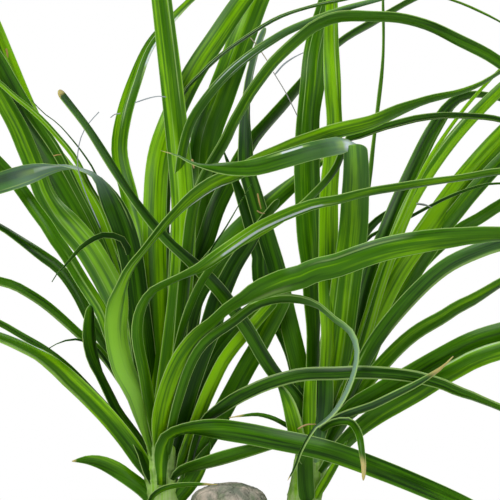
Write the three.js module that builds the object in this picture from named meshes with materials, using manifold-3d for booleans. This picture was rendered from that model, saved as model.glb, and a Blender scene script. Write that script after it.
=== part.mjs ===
// Potted ponytail palm: a plain clay pot of soil, a topped trunk with a swollen foot, and two leafy
// shoots that grew from the trunk below the cut. Millimetres, +Z up, the pot's foot centred on the
// origin, front towards -Y.
import * as THREE from 'three';
import { mergeVertices } from 'three/addons/utils/BufferGeometryUtils.js';
import Module from 'manifold-3d';

const wasm = await Module();
wasm.setup();

const CLEARANCE = 0.3; // between pieces that touch
const WELD = 3e-3; // corners closer than this are one

const POT_HEIGHT = 200;
const POT_FOOT_RADIUS = 82;
const POT_RIM_RADIUS = 115;
const POT_WALL = 6;
const POT_FLOOR = 10;
const RIM_BAND = 36; // height of the band round the rim
const RIM_OVERHANG = 12;
const POT_CORNER = 8; // where the wall meets the floor inside
const FOOT_BEVEL = 4;
const BAND_CORNER = [[3, 1], [0, 5]]; // inwards from the band, and up from its bottom
const RIM_EDGE = [[0, 5], [3, 1], [7, 0], [11, 2]]; // inwards from the band, and down from the top
const DRAIN_RADIUS = 6;
const DRAIN_CIRCLE = 42;
const DRAIN_COUNT = 5;
const DRAIN_SIDES = 12;
const ROUND_SIDES = 36;
const BAND_BOTTOM = POT_HEIGHT - RIM_BAND;
const UNDER_RIM_RADIUS = POT_RIM_RADIUS - RIM_OVERHANG;
const INSIDE_FOOT_RADIUS = POT_FOOT_RADIUS - POT_WALL;
const INSIDE_BAND_RADIUS = UNDER_RIM_RADIUS - POT_WALL;

const SOIL_TOP = 180;
const SOIL_GAP = 0.45; // to the pot's wall
const SOIL_RINGS = 6;
const SOIL_SHOULDER = [1, 6]; // its edge bulges so far out, and so far below its top
const CRUMB_HEIGHT = 1.54;
const CLOD_HEIGHT = 1.1;

const TRUNK_TOP = 400;
const TRUNK_SIDES = 24;
const HOLE_FLOOR = 96; // the trunk's foot stands this high inside the pot
const HOLE_GAP = 0.4; // round the buried foot
const HOLE_TOP = SOIL_TOP + 30; // clear of the soil's highest crumb
const BARK_RELIEF = 0.018; // of each wave, as a share of the trunk's radius
const BARK_WAVES = [[1, 5, 0.021], [0.6, 9, -0.034], [1, 2, 0.05], [1, 3, -0.083]];
const BARK_START = [SOIL_TOP + 4, SOIL_TOP + 16];
const BARK_END = [TRUNK_TOP - 24, TRUNK_TOP - 4];
const CUT_RELIEF = 0.35; // share of the relief that the cut's edge keeps

const SHOOT_RADIUS = 12.5;
const SHOOT_SIDES = 12;
const SHOOT_STEPS = 12;
const SOCKET_GAP = CLEARANCE + 0.1; // larger by what the flat sides lose
// The bud of young leaf bases that tops a stem: [radius, height above the stem's end]. It starts
// inside the stem.
const BUD_FOOT = [[0, -6], [11.5, -6]];
const BUD_SHOULDER_UP = 4;
const BUD_TOP = [[9.5, 12], [7, 22], [4, 31], [0, 36]];

const BLADE_THICKNESS = 1.55; // at the midrib
const BLADE_CHANNEL = 0.14; // depth of the channel as a share of the width
const TIP_WIDTH = 0.9;
const TIP_THICKNESS = 1.1; // at most this share of half the width
const TAPER = [4, 0.9]; // how late the tip narrows, and how bluntly
const LEAF_SHORTEST = 6; // lengths between sections along a leaf
const LEAF_LONGEST = 13;
const SECTION_STEP = 90;
const SECTION_BEND = 0.62; // radians
const TWIST_COST = 0.6; // of a twist, against a bend of the same angle
const FREE_STEP = 40;
const DROOP = 0.13; // how fast a leaf's free end bends down, for each of those steps
const DROOP_GROWTH = 0.35;
const ROOT_WIDTH = 0.45; // share of the full width where a leaf is rooted in the stem
const ROOT_LENGTH = 0.09; // share of the leaf's length over which it widens

// The front view is seen from this far away, level with this height and this far to the right.
const VIEW_DISTANCE = 4000;
const VIEW_HEIGHT = 562;
const VIEW_ACROSS = 15;

// A leaf is its width, how far its face is turned from the front (degrees, spread along the route),
// its depth behind the front plane (spread along the route), the length of its free end past the
// route, and the route itself as [across, up] in the front view. A cut leaf keeps a share of its
// width at its end.
const leaf = (width, turns, depths, freeEnd, route, cut = 0) => ({
  width, turns, depths, freeEnd, route, cut,
});

const LEFT_TALL = [
  leaf(17, [20, 0, 10], [2, 14, 45], 200,
    [[-47, 410], [-44, 455], [-38, 500], [-33, 545], [-32, 590], [-37, 650], [-47, 737]]),
  leaf(17, [50, 20, 5, 0, 90, 180], [2, 14, 20, 12], 190,
    [[-52, 410], [-57, 470], [-64, 525], [-69, 560], [-76, 583], [-86, 604], [-92, 613], [-98, 617],
      [-104, 618.5], [-110, 620.5], [-125, 620], [-140, 616], [-155, 611], [-160, 609.5]]),
  leaf(13, [60, 0, -20, -60], [6, 60, 110, 160], 170,
    [[-50, 410], [-57, 500], [-62, 566], [-70, 600], [-77, 632], [-74, 656], [-66, 682], [-56, 706],
      [-41, 724], [-26, 739]]),
  leaf(17, [50, 0, 0], [2, 24, 50, 80], 180,
    [[-49, 410], [-50, 470], [-51, 530], [-52, 590], [-49, 628], [-42, 650], [-26, 684], [-8, 712],
      [9, 737]]),
  leaf(22, [30, 0, 0], [0, 24, 70, 125], 180,
    [[-42, 410], [-37, 460], [-30, 520], [-22, 570], [-19, 610], [-16.5, 640], [-6, 670], [5, 700],
      [12.5, 720], [19, 737]]),
  leaf(13, [60, 20, 0, 10, 50, 62, 62], [4, 30, 60, 80], 120,
    [[-42, 410], [-37, 490], [-27, 540], [-20, 560], [-16, 570], [-9.5, 590], [-2.5, 605], [5, 619],
      [11.5, 631], [18, 641], [27, 651], [38, 663], [50, 677.5], [78, 707.5], [103, 722.5], [128, 737]]),
  leaf(10.5, [60, 30, 40, 45, 45, 38, 42, 0], [-4, -14, -40, -80], 200,
    [[-40, 410], [-34, 500], [-29, 560], [-25, 590], [-20, 606], [-14, 619], [-5.5, 633], [-1, 641],
      [3, 650], [9, 661], [14.5, 671], [22, 681.5], [31, 693], [40, 702], [50, 711], [60, 719], [75, 725],
      [100, 725.5], [120, 724.5], [140, 719], [160, 709.6], [180, 699.8], [190, 693.3]]),
  leaf(8, [50, 30, 20], [4, 30, 20, -20, -60], 30,
    [[-44, 410], [-40, 520], [-34, 620], [-29, 645], [-25, 655], [-17, 667], [-8, 678], [4, 690],
      [20, 702.5], [30, 709], [40, 715], [60, 723.5], [80, 731], [100, 736.5], [125, 742]]),
  leaf(9, [60, 70, 75, 78, 78], [6, 40, 60, 55, 20, -5, -15], 60,
    [[-46, 410], [-44, 540], [-38, 650], [-31, 673], [-18, 687], [-5, 699], [10, 710], [35, 725],
      [55, 732], [78, 737], [110, 743], [140, 741.5], [160, 736], [175, 729.5], [190, 722]]),
  leaf(2, [0, 0], [-10, -18, -22], 0,
    [[-44, 412], [-34, 500], [-15, 558], [-3, 577], [7, 594], [16, 609]]),
  leaf(16, [40, 10, 0], [2, 20, 35], 10,
    [[-44, 412], [-38, 470], [-26, 530], [-6, 558], [4, 570], [14, 580], [30, 594.5], [40, 603],
      [48, 609.5], [68, 625]]),
];

const LEFT_ARCHING_RIGHT = [
  leaf(16, [75, 50, 30, 5, 0, 66, 76, 68, 56, 50, 48, 45, 44, 52, 64, 76, 80],
    [-6, -30, -50, -52, -48, -54, -70], 120,
    [[-52, 412], [-58, 438], [-64, 460], [-74, 480], [-79, 503], [-78.5, 518], [-75, 535], [-69, 549],
      [-60, 561], [-47, 576.5], [-36, 589], [-25, 599], [-10, 609], [5, 615], [20, 623.5], [35, 630],
      [47, 635.5], [60, 640], [75, 645], [85, 647.5], [100, 651.5], [120, 660], [140, 667.3],
      [150, 669.7], [160, 672], [170, 675.5], [180, 680.5], [190, 687]]),
  leaf(7, [60, 40, 40, 50, 40, 30, 30], [-2, -20, -40, -36, -26, -40, -55], 100,
    [[-44, 410], [-40, 470], [-30, 515], [-16, 545], [0, 562], [20, 573], [35, 582], [50, 592.5],
      [60, 602], [70, 613], [76, 622], [80, 632], [84, 640], [92, 642.5], [100, 645.5], [110, 649],
      [120, 651.5], [130, 654], [140, 655.5], [150, 656.5], [160, 656.5], [170, 656], [180, 655.3],
      [190, 653.5]]),
  leaf(9, [60, 20, 30, 60, 10, 25, 45, 50, 50], [-4, -40, -55, -70, -80], 170,
    [[-50, 412], [-54, 445], [-59, 475], [-64, 503], [-62, 520], [-54, 533], [-44, 538.5], [-30, 545],
      [-20, 550], [-10, 557], [0, 564], [10, 571], [20, 577.5], [30, 582.5], [40, 587], [50, 591],
      [60, 594.5], [75, 597], [100, 603.2], [120, 606.5], [140, 609.5], [165, 613], [190, 617.2]]),
  leaf(17, [20, 25, 30, 35, 40, 50, 64, 60, 30, 0, 0, 0, 0, 5, 22, 38, 47],
    [-8, -40, -60, -80, -95], 200,
    [[-47, 405], [-47, 435], [-43, 460], [-35, 482], [-26, 496.5], [-18, 505.5], [-10, 512.5], [0, 521],
      [10, 527], [20, 533], [30, 537.5], [40, 541], [50, 543.5], [60, 548], [75, 551.5], [90, 557],
      [105, 562], [120, 565.5], [150, 570], [190, 572.8]]),
  leaf(7, [50, 30, 20, 10, 0, 20, 50, 52, 52, 50, 50], [-6, -42, -50, -56, -62], 0,
    [[-45, 405], [-36, 455], [-20, 494], [4, 513], [20, 524.5], [40, 528.5], [60, 524.5], [74, 513.5],
      [84, 506], [88.5, 497], [89.3, 490], [88, 480], [85, 470], [80.5, 460], [75, 451], [68, 443.5],
      [61, 439], [55, 430.5], [50, 421], [46.5, 411], [41, 401]], 0.2),
  leaf(15, [0, 60, 0, 0, 0, 0, 0], [-14, -30, -45, -50], 130,
    [[-47, 398], [-47, 418], [-43, 431], [-33, 436], [-12, 437], [12, 434], [32, 430], [52, 426],
      [72, 421], [100, 411], [130, 399], [170, 381]]),
  leaf(12, [60, 30, 20], [-8, -22, -26], 0,
    [[-40, 401], [-34, 407], [-16, 413], [4, 419], [24, 424], [42, 427]]),
  leaf(9.5, [40, 50, 10, 5, 0, 15, 30, 55], [-6, -28, -45, -60], 140,
    [[-30, 402], [-24, 425], [-17, 442], [-6, 451], [6, 459], [15, 463.5], [25, 468], [40, 472.8],
      [50, 475], [60, 475.8], [75, 476], [90, 476.8], [100, 476.5], [110, 476], [120, 475], [130, 473.5],
      [140, 471], [150, 468], [160, 463.5], [170, 460], [180, 455.7], [190, 451.7]]),
  leaf(16, [30, 10, 0, 30, 40], [-4, -16, -20], 0,
    [[-43, 405], [-37, 432], [-30, 461], [-21, 488], [-13, 508], [-7, 528], [-1, 541], [5, 553],
      [13, 565], [24, 582], [35, 598]], 0.3),
  leaf(14, [30, 10, 0], [-2, -6, -4], 0,
    [[-40, 405], [-30, 432], [-21, 461], [-9, 488], [6, 506], [18, 518], [30, 529]], 0.6),
  leaf(10, [40, 20, 10], [-6, -10, -6], 0,
    [[-36, 405], [-27, 430], [-21.5, 445], [-15.5, 460], [-10, 472], [-4, 484], [4.5, 496], [16, 509],
      [33, 528]], 0.7),
  leaf(14, [50, 10, 0], [-4, 0, 4], 0,
    [[-38, 386], [-29, 402], [-19, 422], [-8, 442], [-4, 450], [2.5, 462], [12.7, 481], [20.3, 494],
      [26.5, 506], [33, 518], [39, 530]], 0.8),
  leaf(14, [20, 0], [-4, -9], 0,
    [[-46, 378], [-37, 389], [-27, 401], [-20, 413], [-13, 428]]),
];

const LEFT_SPREADING = [
  leaf(4.5, [30, 30, 20], [-16, -26, -30], 0,
    [[-52, 376], [-55, 387], [-50, 393], [-42, 396.5], [-27, 398.3], [-8, 398.3]]),
  leaf(12.5, [60, 35, 30, 0, 0, 0], [-2, -12, -22], 0,
    [[-50, 381], [-57, 392.5], [-70, 403], [-80, 409.3], [-90, 413.8], [-100, 415.5], [-110, 414.5]]),
  leaf(12.5, [50, 10, 0, 0, 0, 30, 52, 58], [-6, -25, -60], 190,
    [[-48, 393], [-53, 401], [-61, 414], [-71, 428.5], [-85, 445.5], [-100, 461], [-110, 470.5],
      [-120, 480], [-130, 487.5], [-145, 495.5], [-160, 502]]),
  leaf(20, [70, 72, 72, 72, 72, 74, 70, 10, 35], [-4, -8, -8, 0], 0,
    [[-50, 400], [-60, 415], [-72, 435], [-80, 450], [-84, 460], [-87, 470], [-91.8, 480], [-95.5, 490],
      [-97.3, 500], [-97.5, 512], [-96.8, 524]], 0.25),
  leaf(7, [60, 30, 10], [0, 10, 0, -20], 160,
    [[-51, 412], [-57, 436], [-66, 456], [-76, 472], [-84, 484], [-95, 496], [-104, 503], [-110, 508.5],
      [-120, 517.5], [-130, 525.5], [-140, 532], [-150, 537.5], [-160, 540.5]]),
  leaf(5, [60, 10, 0], [-2, 0, -20], 140,
    [[-50, 405], [-62, 424], [-78, 444], [-95, 462.5], [-112, 480], [-128, 492.5], [-146, 503],
      [-160, 511]]),
  leaf(8.5, [60, 20, 0, 0, 60], [2, 30, 60], 170,
    [[-52, 412], [-60, 445], [-70, 470], [-82, 490], [-95, 510], [-100, 520], [-105, 530], [-112, 541],
      [-120, 550.5], [-130, 558], [-140, 565.5], [-150, 572.5], [-160, 579]]),
  leaf(9, [60, 20, 0], [0, -6, 10, 30], 170,
    [[-51, 412], [-62, 455], [-72, 478], [-80, 495], [-89.5, 520], [-95.5, 530], [-102, 540],
      [-108, 550], [-114, 560], [-121.7, 570], [-128, 580], [-135.5, 590], [-142.5, 600], [-150, 610],
      [-160, 622]]),
  leaf(19, [58, 40, 20, 0, 0, 0, 38, 40, 40], [2, 25, 60], 180,
    [[-50, 412], [-57, 455], [-66, 492], [-78.6, 528], [-92.6, 549.7], [-102.6, 564.7], [-112.6, 576.7],
      [-120.6, 586.7], [-126.5, 601], [-131, 612.5], [-137.5, 625.7], [-141, 634], [-147, 648],
      [-154, 661]]),
  leaf(24, [50, 50, 45, 40, 20, 0], [4, 50, 100], 180,
    [[-50, 412], [-60, 470], [-72, 507], [-84, 541], [-98, 576], [-112, 603], [-127, 630], [-144, 655],
      [-158, 679], [-164, 690]]),
  leaf(15.5, [50, 10, 0], [6, 70, 140], 180,
    [[-50, 412], [-60, 480], [-70, 515], [-80, 550], [-93, 583.5], [-105.5, 606], [-116.5, 620],
      [-129.5, 637], [-141.3, 660], [-156, 696], [-166, 721]]),
  leaf(4.5, [60, 20, 20], [0, 20, 30], 150,
    [[-50, 412], [-60, 480], [-70, 540], [-81, 572], [-88, 590], [-93.5, 600], [-98.5, 608],
      [-104, 620], [-110, 630], [-120, 642], [-130, 653], [-140, 662], [-150, 670], [-160, 679]]),
  leaf(2, [10, 0], [3, 24, 34], 0,
    [[-50, 412], [-62, 490], [-76, 550], [-86, 590], [-93, 615], [-100, 627], [-110, 640], [-120, 651],
      [-130, 658.5], [-138, 667]]),
  leaf(5, [60, 40, 10, 0], [0, 14, 24, 14, -14], 0,
    [[-51, 412], [-58, 480], [-66, 545], [-72, 566], [-76, 571], [-85, 573], [-90, 572.5], [-97, 569],
      [-105, 563], [-110, 557], [-117, 549], [-122, 544], [-124, 540]]),
  leaf(3, [0, 0], [4, 0, -10], 0,
    [[-53, 415], [-66, 450], [-84, 482], [-95, 495.5], [-103, 499.5], [-112, 499.5], [-120, 497],
      [-127, 493]]),
];

// These lean away behind the crown, each hidden in the front view by a leaf before it.
const LEFT_BEHIND = [
  leaf(12, [0, 0], [4, 40, 120, 200, 280, 340, 400], 120,
    [[-45, 410], [-43, 490], [-42, 550], [-42, 575], [-43, 545], [-46, 470], [-50, 395]]),
  leaf(11, [0, 0], [4, 90, 210, 330], 150,
    [[-46, 410], [-40, 480], [-36, 530], [-33, 575]]),
  leaf(12, [0, 20], [4, 60, 120, 190], 170,
    [[-44, 412], [-30, 520], [-16, 620], [-8, 665], [2, 700], [14, 725]]),
  leaf(12, [0, 0], [6, 90, 210, 360], 150,
    [[-50, 412], [-58, 470], [-66, 520], [-78, 566]]),
];

const RIGHT_TALL = [
  leaf(21.5, [30, 10, 0, 0], [0, 6, -10, -46], 0,
    [[62, 425], [67, 443], [76, 492], [82.3, 541], [87, 576], [88.4, 600], [89, 611], [89.7, 622],
      [90.2, 631]], 0.75),
  leaf(13, [20, 10, 0, 0, 30, 78, 80], [-46, -74, -80, -84, -84], 0,
    [[92, 633], [84, 635.5], [70, 634.5], [55, 631], [40, 626.5], [15, 620], [-10, 620.5], [-25, 623],
      [-35, 628], [-48, 632]]),
  leaf(20, [60, 66, 62, 50, 15, 20, 30, 5, 48], [-4, 20, 60], 170,
    [[58, 418], [59, 457], [60, 500], [59.5, 524], [58.5, 551], [57, 577], [56, 597], [55, 617],
      [55.5, 640], [56.5, 660], [59, 680], [61, 700], [69, 737]]),
  leaf(16, [62, 64, 52, 28, 28, 34, 36, 5, 0], [-4, 0, 30], 60,
    [[60, 418], [66, 457], [70, 500], [70, 525], [70, 550], [70.5, 600], [72.5, 625], [74.5, 650],
      [73.3, 670], [72.2, 688], [71.7, 700], [71.5, 720], [72, 737]]),
  leaf(5, [60, 50, 50], [10, 40, 55], 60,
    [[62, 420], [72, 480], [85, 545], [97, 600], [101, 635], [105, 667], [108, 697], [108, 735]]),
  leaf(13.3, [40, 10, 0, 0, 15, 55, 50], [2, 16, 40], 0,
    [[58, 418], [55, 450], [50, 478], [44.7, 500], [39.8, 520], [33.5, 548], [26, 573], [18, 600],
      [12.5, 620], [11.8, 640], [12, 660], [14, 680], [17, 695], [21, 709], [22, 722], [20, 737]], 0.6),
  leaf(11, [40, 0, 0, 30], [0, 14, 30], 0,
    [[57, 418], [54, 450], [46, 490], [34, 516], [22, 545], [22, 557], [15.5, 579], [8.5, 600],
      [5, 609], [-5, 635]]),
];

const RIGHT_REACHING_LEFT = [
  leaf(10, [20, 0], [-12, -15, -14], 0,
    [[55, 404], [56, 430], [56.5, 455], [57.5, 476]], 0.8),
  leaf(14, [20, 0], [-10, -13, -12], 0,
    [[60, 410], [64, 435], [66.5, 456], [67, 476]], 0.8),
  leaf(12, [10, 0], [-13, -15], 0,
    [[55, 386], [54, 396], [53.5, 408], [54, 424]], 0.7),
  leaf(10, [40, 20, 0, 10, 45, 52, 52, 50], [-6, -14, -26, -32, -36], 0,
    [[61, 425], [57, 440], [52, 452], [46, 461], [41, 466], [34, 473.5], [28.5, 481], [21.8, 491.5],
      [14.8, 504], [6, 517], [-8, 536], [-27, 555], [-40, 566.5], [-50, 577.5], [-67.5, 600], [-80, 619],
      [-86, 628.5], [-100, 650], [-119, 674.5]], 0.75),
  leaf(12, [30, 0], [-12, -24, -26], 0,
    [[56, 412], [48.5, 430], [45, 444], [42.5, 453], [38.5, 462.5], [33, 471]]),
  leaf(3.5, [30, 10, 0], [-8, -22, -26], 0,
    [[56, 428], [49, 434.5], [40, 440], [30, 445], [20, 447.3], [10, 446.5], [0, 445]]),
];

const RIGHT_SPREADING = [
  leaf(13, [40, 0, 0, 0, 60], [4, 40, 90], 60,
    [[62, 422], [72, 440], [82, 464], [88.5, 497], [94.2, 527], [100.5, 549], [112, 579], [128, 616],
      [144, 648], [159, 667], [174, 671], [190, 668]]),
  leaf(3.5, [40, 20, 20], [2, 20, 30], 80,
    [[63, 420], [75, 450], [95, 515], [108, 555], [121, 585], [138, 622], [163, 659], [188, 687]]),
  leaf(10, [40, 10, 0], [0, 30, 70], 160,
    [[64, 420], [76, 450], [92, 492], [106, 540], [125, 591], [136, 611], [160, 644], [190, 675]]),
  leaf(16, [40, 10, 0], [-2, 40, 110], 190,
    [[64, 420], [74, 440], [85, 460], [100, 510], [118, 547], [137, 574], [163, 610], [190, 641]]),
  leaf(12, [40, 10, 0], [4, 50, 90], 170,
    [[64, 420], [78, 445], [90, 468], [108, 512], [128, 544], [143, 567], [152, 580], [160, 590],
      [168, 600], [176, 609], [190, 624]]),
  leaf(9.5, [40, 10, 0], [6, 60, 130], 170,
    [[64, 420], [85, 480], [110, 520], [138, 556], [162, 577], [176, 585], [190, 594]]),
  leaf(3, [40, 30, 20], [4, 40, 50], 60,
    [[62, 420], [68, 490], [80, 545], [98, 571], [114, 579], [124, 584], [137, 591], [155, 600],
      [178, 608], [190, 609]]),
  leaf(9, [40, 10, 20], [6, 60, 90], 0,
    [[60, 420], [66, 480], [78, 545], [98, 577], [109, 587], [125, 595], [140, 593]]),
  leaf(11.5, [50, 20, 0], [-4, -20, -40], 180,
    [[66, 416], [72, 432], [80, 452], [101, 496], [125, 526.5], [152, 551], [176, 562.5], [190, 567]]),
  leaf(10.5, [50, 10, 0, 15, 25, 50], [-4, -10, -30], 170,
    [[66, 414], [75, 436], [86, 456], [97, 471], [107, 482], [114, 489.5], [124, 499], [134, 506.5],
      [150, 515.5], [160, 522], [170, 527], [180, 533], [190, 539]]),
  leaf(14, [50, 10, 0], [-6, -20, -40], 180,
    [[64, 410], [72, 430], [84, 449], [106, 463], [127, 475], [148, 487], [169, 498], [190, 505]]),
  leaf(13.5, [50, 10, 0], [-8, -30, -50], 180,
    [[62, 404], [71, 416], [82, 428], [93, 438.5], [106, 448], [120, 456], [134, 464], [148, 473],
      [160, 479.5], [169, 484.5], [180, 489], [190, 492]]),
  leaf(7, [60, 20, 0], [-4, -14, -18], 0,
    [[56, 376], [61, 389], [69, 403], [77, 417], [83, 430]]),
  leaf(6, [30, 10, 0], [-10, -40, -75], 0,
    [[60, 430], [70, 441], [80, 446.5], [90, 450], [100, 453.3], [110, 458], [120, 463], [130, 468],
      [140, 474], [150, 481], [157, 488]]),
  leaf(5.5, [20, 0, 0], [-8, -30, -60, -66], 0,
    [[60, 432], [68, 439], [77, 442.5], [84, 442.5], [88.8, 438], [91.8, 430], [93.2, 420], [94.4, 410],
      [94, 401]], 0.4),
];

const RIGHT_BEHIND = [
  leaf(11, [0, 0], [4, 60, 140, 220, 290, 350, 400], 120,
    [[60, 418], [68, 457], [72, 500], [72.5, 550], [72.5, 570], [72, 530], [69, 470], [58, 425]]),
  leaf(12, [0, 0], [4, 90, 200, 320], 150,
    [[60, 418], [68, 490], [76, 530], [86, 580]]),
  leaf(12, [0, 0], [4, 90, 210, 360], 60,
    [[62, 420], [80, 480], [96, 530], [110, 574], [117, 592]]),
];

// Each shoot leaves the trunk below the cut and turns up. Points are [x, y, z] on its axis.
const LEFT_SHOOT = {
  axis: [[-8, 0, 318], [-28, 0, 338], [-42, 0, 362], [-47, 0, 392], [-48, 0, 424]],
  leaves: [...LEFT_TALL, ...LEFT_ARCHING_RIGHT, ...LEFT_SPREADING],
  behind: LEFT_BEHIND,
  outward: Math.PI,
  budRadius: 11.1,
  seed: 11,
};
const RIGHT_SHOOT = {
  axis: [[8, 0, 308], [30, 0, 328], [46, 0, 356], [53, 0, 390], [60, 0, 428]],
  leaves: [...RIGHT_TALL, ...RIGHT_REACHING_LEFT, ...RIGHT_SPREADING],
  behind: RIGHT_BEHIND,
  outward: 0,
  budRadius: 10.8,
  seed: 29,
};

// A skirt of lower leaves hangs round each shoot, away from the trunk. Its path is [out, up] from
// where the leaf starts, at full size.
const SKIRT_PATH = [[0, 0], [26, 13], [70, 22], [130, 6], [190, -42], [240, -112], [268, -190]];
const SKIRT_COUNT = 7;
const SKIRT_START = 352;
const SKIRT_SPREAD = Math.PI * 1.12;
const SKIRT_WIDTH = 13;
const SKIRT_JITTER = 0.2; // radians round the stem
const SKIRT_SIZE = [0.85, 1.2];
const SKIRT_ROOT = [0.42, 0.52]; // share of the stem's length
const SKIRT_SWAY = 0.5; // radians, reached at SWAY_REACH
const SWAY_REACH = 200;
const SKIRT_TURN = 0.8; // radians of twist at the tip

// Joining and cutting

function solidFrom(geometry) {
  const bare = geometry.index ? geometry.toNonIndexed() : geometry.clone();
  bare.deleteAttribute('normal');
  bare.deleteAttribute('uv');
  const merged = mergeVertices(bare, WELD);
  const index = Array.from(merged.index.array);
  const kept = [];
  for (let i = 0; i < index.length; i += 3) {
    const [a, b, c] = [index[i], index[i + 1], index[i + 2]];
    if (a !== b && b !== c && c !== a) kept.push(a, b, c);
  }
  const place = merged.getAttribute('position');
  if (signedVolume(place, kept) < 0) kept.reverse();
  const mesh = new wasm.Mesh({
    numProp: 3,
    vertProperties: new Float32Array(place.array),
    triVerts: new Uint32Array(kept),
  });
  return new wasm.Manifold(mesh);
}

function signedVolume(place, index) {
  const [a, b, c] = [new THREE.Vector3(), new THREE.Vector3(), new THREE.Vector3()];
  let volume = 0;
  for (let i = 0; i < index.length; i += 3) {
    a.fromBufferAttribute(place, index[i]);
    b.fromBufferAttribute(place, index[i + 1]);
    c.fromBufferAttribute(place, index[i + 2]);
    volume += a.dot(b.cross(c)) / 6;
  }
  return volume;
}

// The largest outer skin alone, so that a hollow sealed inside is filled and a loose scrap dropped.
function mainBody(solid) {
  const bodies = solid.decompose();
  return bodies.reduce((best, body) => (body.volume() > best.volume() ? body : best));
}

function geometryFrom(solid) {
  const mesh = solid.getMesh();
  const geometry = new THREE.BufferGeometry();
  geometry.setAttribute('position', new THREE.BufferAttribute(mesh.vertProperties, 3));
  geometry.setIndex(new THREE.BufferAttribute(mesh.triVerts, 1));
  geometry.computeVertexNormals();
  return geometry;
}

// Corners that a join left almost touching are brought together before the outer skin is kept.
function welded(solid) {
  return mainBody(solidFrom(geometryFrom(mainBody(solid))));
}

function joined(solids) {
  return solids.reduce((whole, solid) => whole.add(solid));
}

function revolved(profile, sides) {
  const points = profile.map(([radius, up]) => new THREE.Vector2(radius, up));
  return new THREE.LatheGeometry(points, sides).rotateX(Math.PI / 2);
}

// Pot

function potSolid() {
  const body = solidFrom(revolved([
    [0, 0], [POT_FOOT_RADIUS - FOOT_BEVEL, 0], [POT_FOOT_RADIUS, FOOT_BEVEL],
    [UNDER_RIM_RADIUS, BAND_BOTTOM],
    ...BAND_CORNER.map(([inwards, up]) => [POT_RIM_RADIUS - inwards, BAND_BOTTOM + up]),
    ...RIM_EDGE.map(([inwards, down]) => [POT_RIM_RADIUS - inwards, POT_HEIGHT - down]),
    [INSIDE_BAND_RADIUS, BAND_BOTTOM], [INSIDE_FOOT_RADIUS, POT_FLOOR + POT_CORNER],
    [INSIDE_FOOT_RADIUS - POT_CORNER, POT_FLOOR], [0, POT_FLOOR],
  ], ROUND_SIDES));
  const drains = [];
  for (let i = 0; i < DRAIN_COUNT; i += 1) {
    const angle = (i / DRAIN_COUNT) * 2 * Math.PI;
    const drain = new THREE.CylinderGeometry(DRAIN_RADIUS, DRAIN_RADIUS, POT_FLOOR * 3, DRAIN_SIDES);
    drain.rotateX(Math.PI / 2);
    drain.translate(DRAIN_CIRCLE * Math.cos(angle), DRAIN_CIRCLE * Math.sin(angle), 0);
    drains.push(solidFrom(drain));
  }
  return body.subtract(joined(drains));
}

// Trunk

// Radius of the trunk at each height, from its buried foot to the domed cut.
const TRUNK_PROFILE = [
  [30, HOLE_FLOOR], [42, 112], [52, 134], [60, 160], [64.5, 184], [65.5, 202], [61, 222], [53, 242],
  [44.5, 262], [38, 284], [33.5, 308], [30.5, 332], [28.5, 356], [27.5, 374], [27, 386],
];
const CUT_DOME = [[25, 391], [20, 395], [13, 398], [6, 399.6]];

// Each wave is its height, how many times it goes round the trunk and how far it winds per mm up.
function barkSwell(angle, up) {
  const aboveSoil = THREE.MathUtils.smoothstep(up, ...BARK_START);
  const belowCut = 1 - THREE.MathUtils.smoothstep(up, ...BARK_END);
  const relief = BARK_RELIEF * aboveSoil * (CUT_RELIEF + (1 - CUT_RELIEF) * belowCut);
  return BARK_WAVES.reduce((swell, [height, count, winding]) => (
    swell + relief * height * Math.sin(count * angle + winding * up)
  ), 1);
}

function trunkSolid(shootSockets) {
  const profile = [[0, HOLE_FLOOR], ...TRUNK_PROFILE, ...CUT_DOME, [0, TRUNK_TOP]];
  const geometry = revolved(profile, TRUNK_SIDES);
  const place = geometry.getAttribute('position');
  for (let i = 0; i < place.count; i += 1) {
    const [x, y, z] = [place.getX(i), place.getY(i), place.getZ(i)];
    const swell = barkSwell(Math.atan2(y, x), z);
    place.setXYZ(i, x * swell, y * swell, z);
  }
  return mainBody(solidFrom(geometry).subtract(shootSockets));
}

// Soil

function soilSurface(radius, angle) {
  const crumbs = Math.sin(7 * angle + radius * 0.31) * Math.cos(radius * 0.23 - 3 * angle);
  const clods = Math.sin(3 * angle - radius * 0.11);
  return SOIL_TOP + CRUMB_HEIGHT * crumbs + CLOD_HEIGHT * clods;
}

function soilSolid() {
  const bottom = POT_FLOOR + CLEARANCE;
  const cornerTop = POT_FLOOR + POT_CORNER;
  const edge = INSIDE_BAND_RADIUS - SOIL_GAP;
  const profile = [
    [0, bottom], [INSIDE_FOOT_RADIUS - POT_CORNER - SOIL_GAP, bottom],
    [INSIDE_FOOT_RADIUS - SOIL_GAP, cornerTop], [edge, BAND_BOTTOM],
    [edge + SOIL_SHOULDER[0], SOIL_TOP - SOIL_SHOULDER[1]],
  ];
  for (let ring = SOIL_RINGS; ring >= 1; ring -= 1) {
    profile.push([edge * (ring / SOIL_RINGS), SOIL_TOP]);
  }
  profile.push([0, SOIL_TOP]);
  const geometry = revolved(profile, ROUND_SIDES);
  const place = geometry.getAttribute('position');
  for (let i = 0; i < place.count; i += 1) {
    const [x, y, z] = [place.getX(i), place.getY(i), place.getZ(i)];
    const radius = Math.hypot(x, y);
    if (z > SOIL_TOP - 1 && radius > 1) place.setZ(i, soilSurface(radius, Math.atan2(y, x)));
  }
  const buried = TRUNK_PROFILE.slice(0, 6).map(([radius, up]) => [radius + HOLE_GAP, up]);
  const widest = buried[buried.length - 1][0];
  const hole = revolved([
    [0, HOLE_FLOOR - CLEARANCE], ...buried, [widest, HOLE_TOP], [0, HOLE_TOP],
  ], TRUNK_SIDES);
  return mainBody(solidFrom(geometry).subtract(solidFrom(hole)));
}

// Leaves

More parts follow.
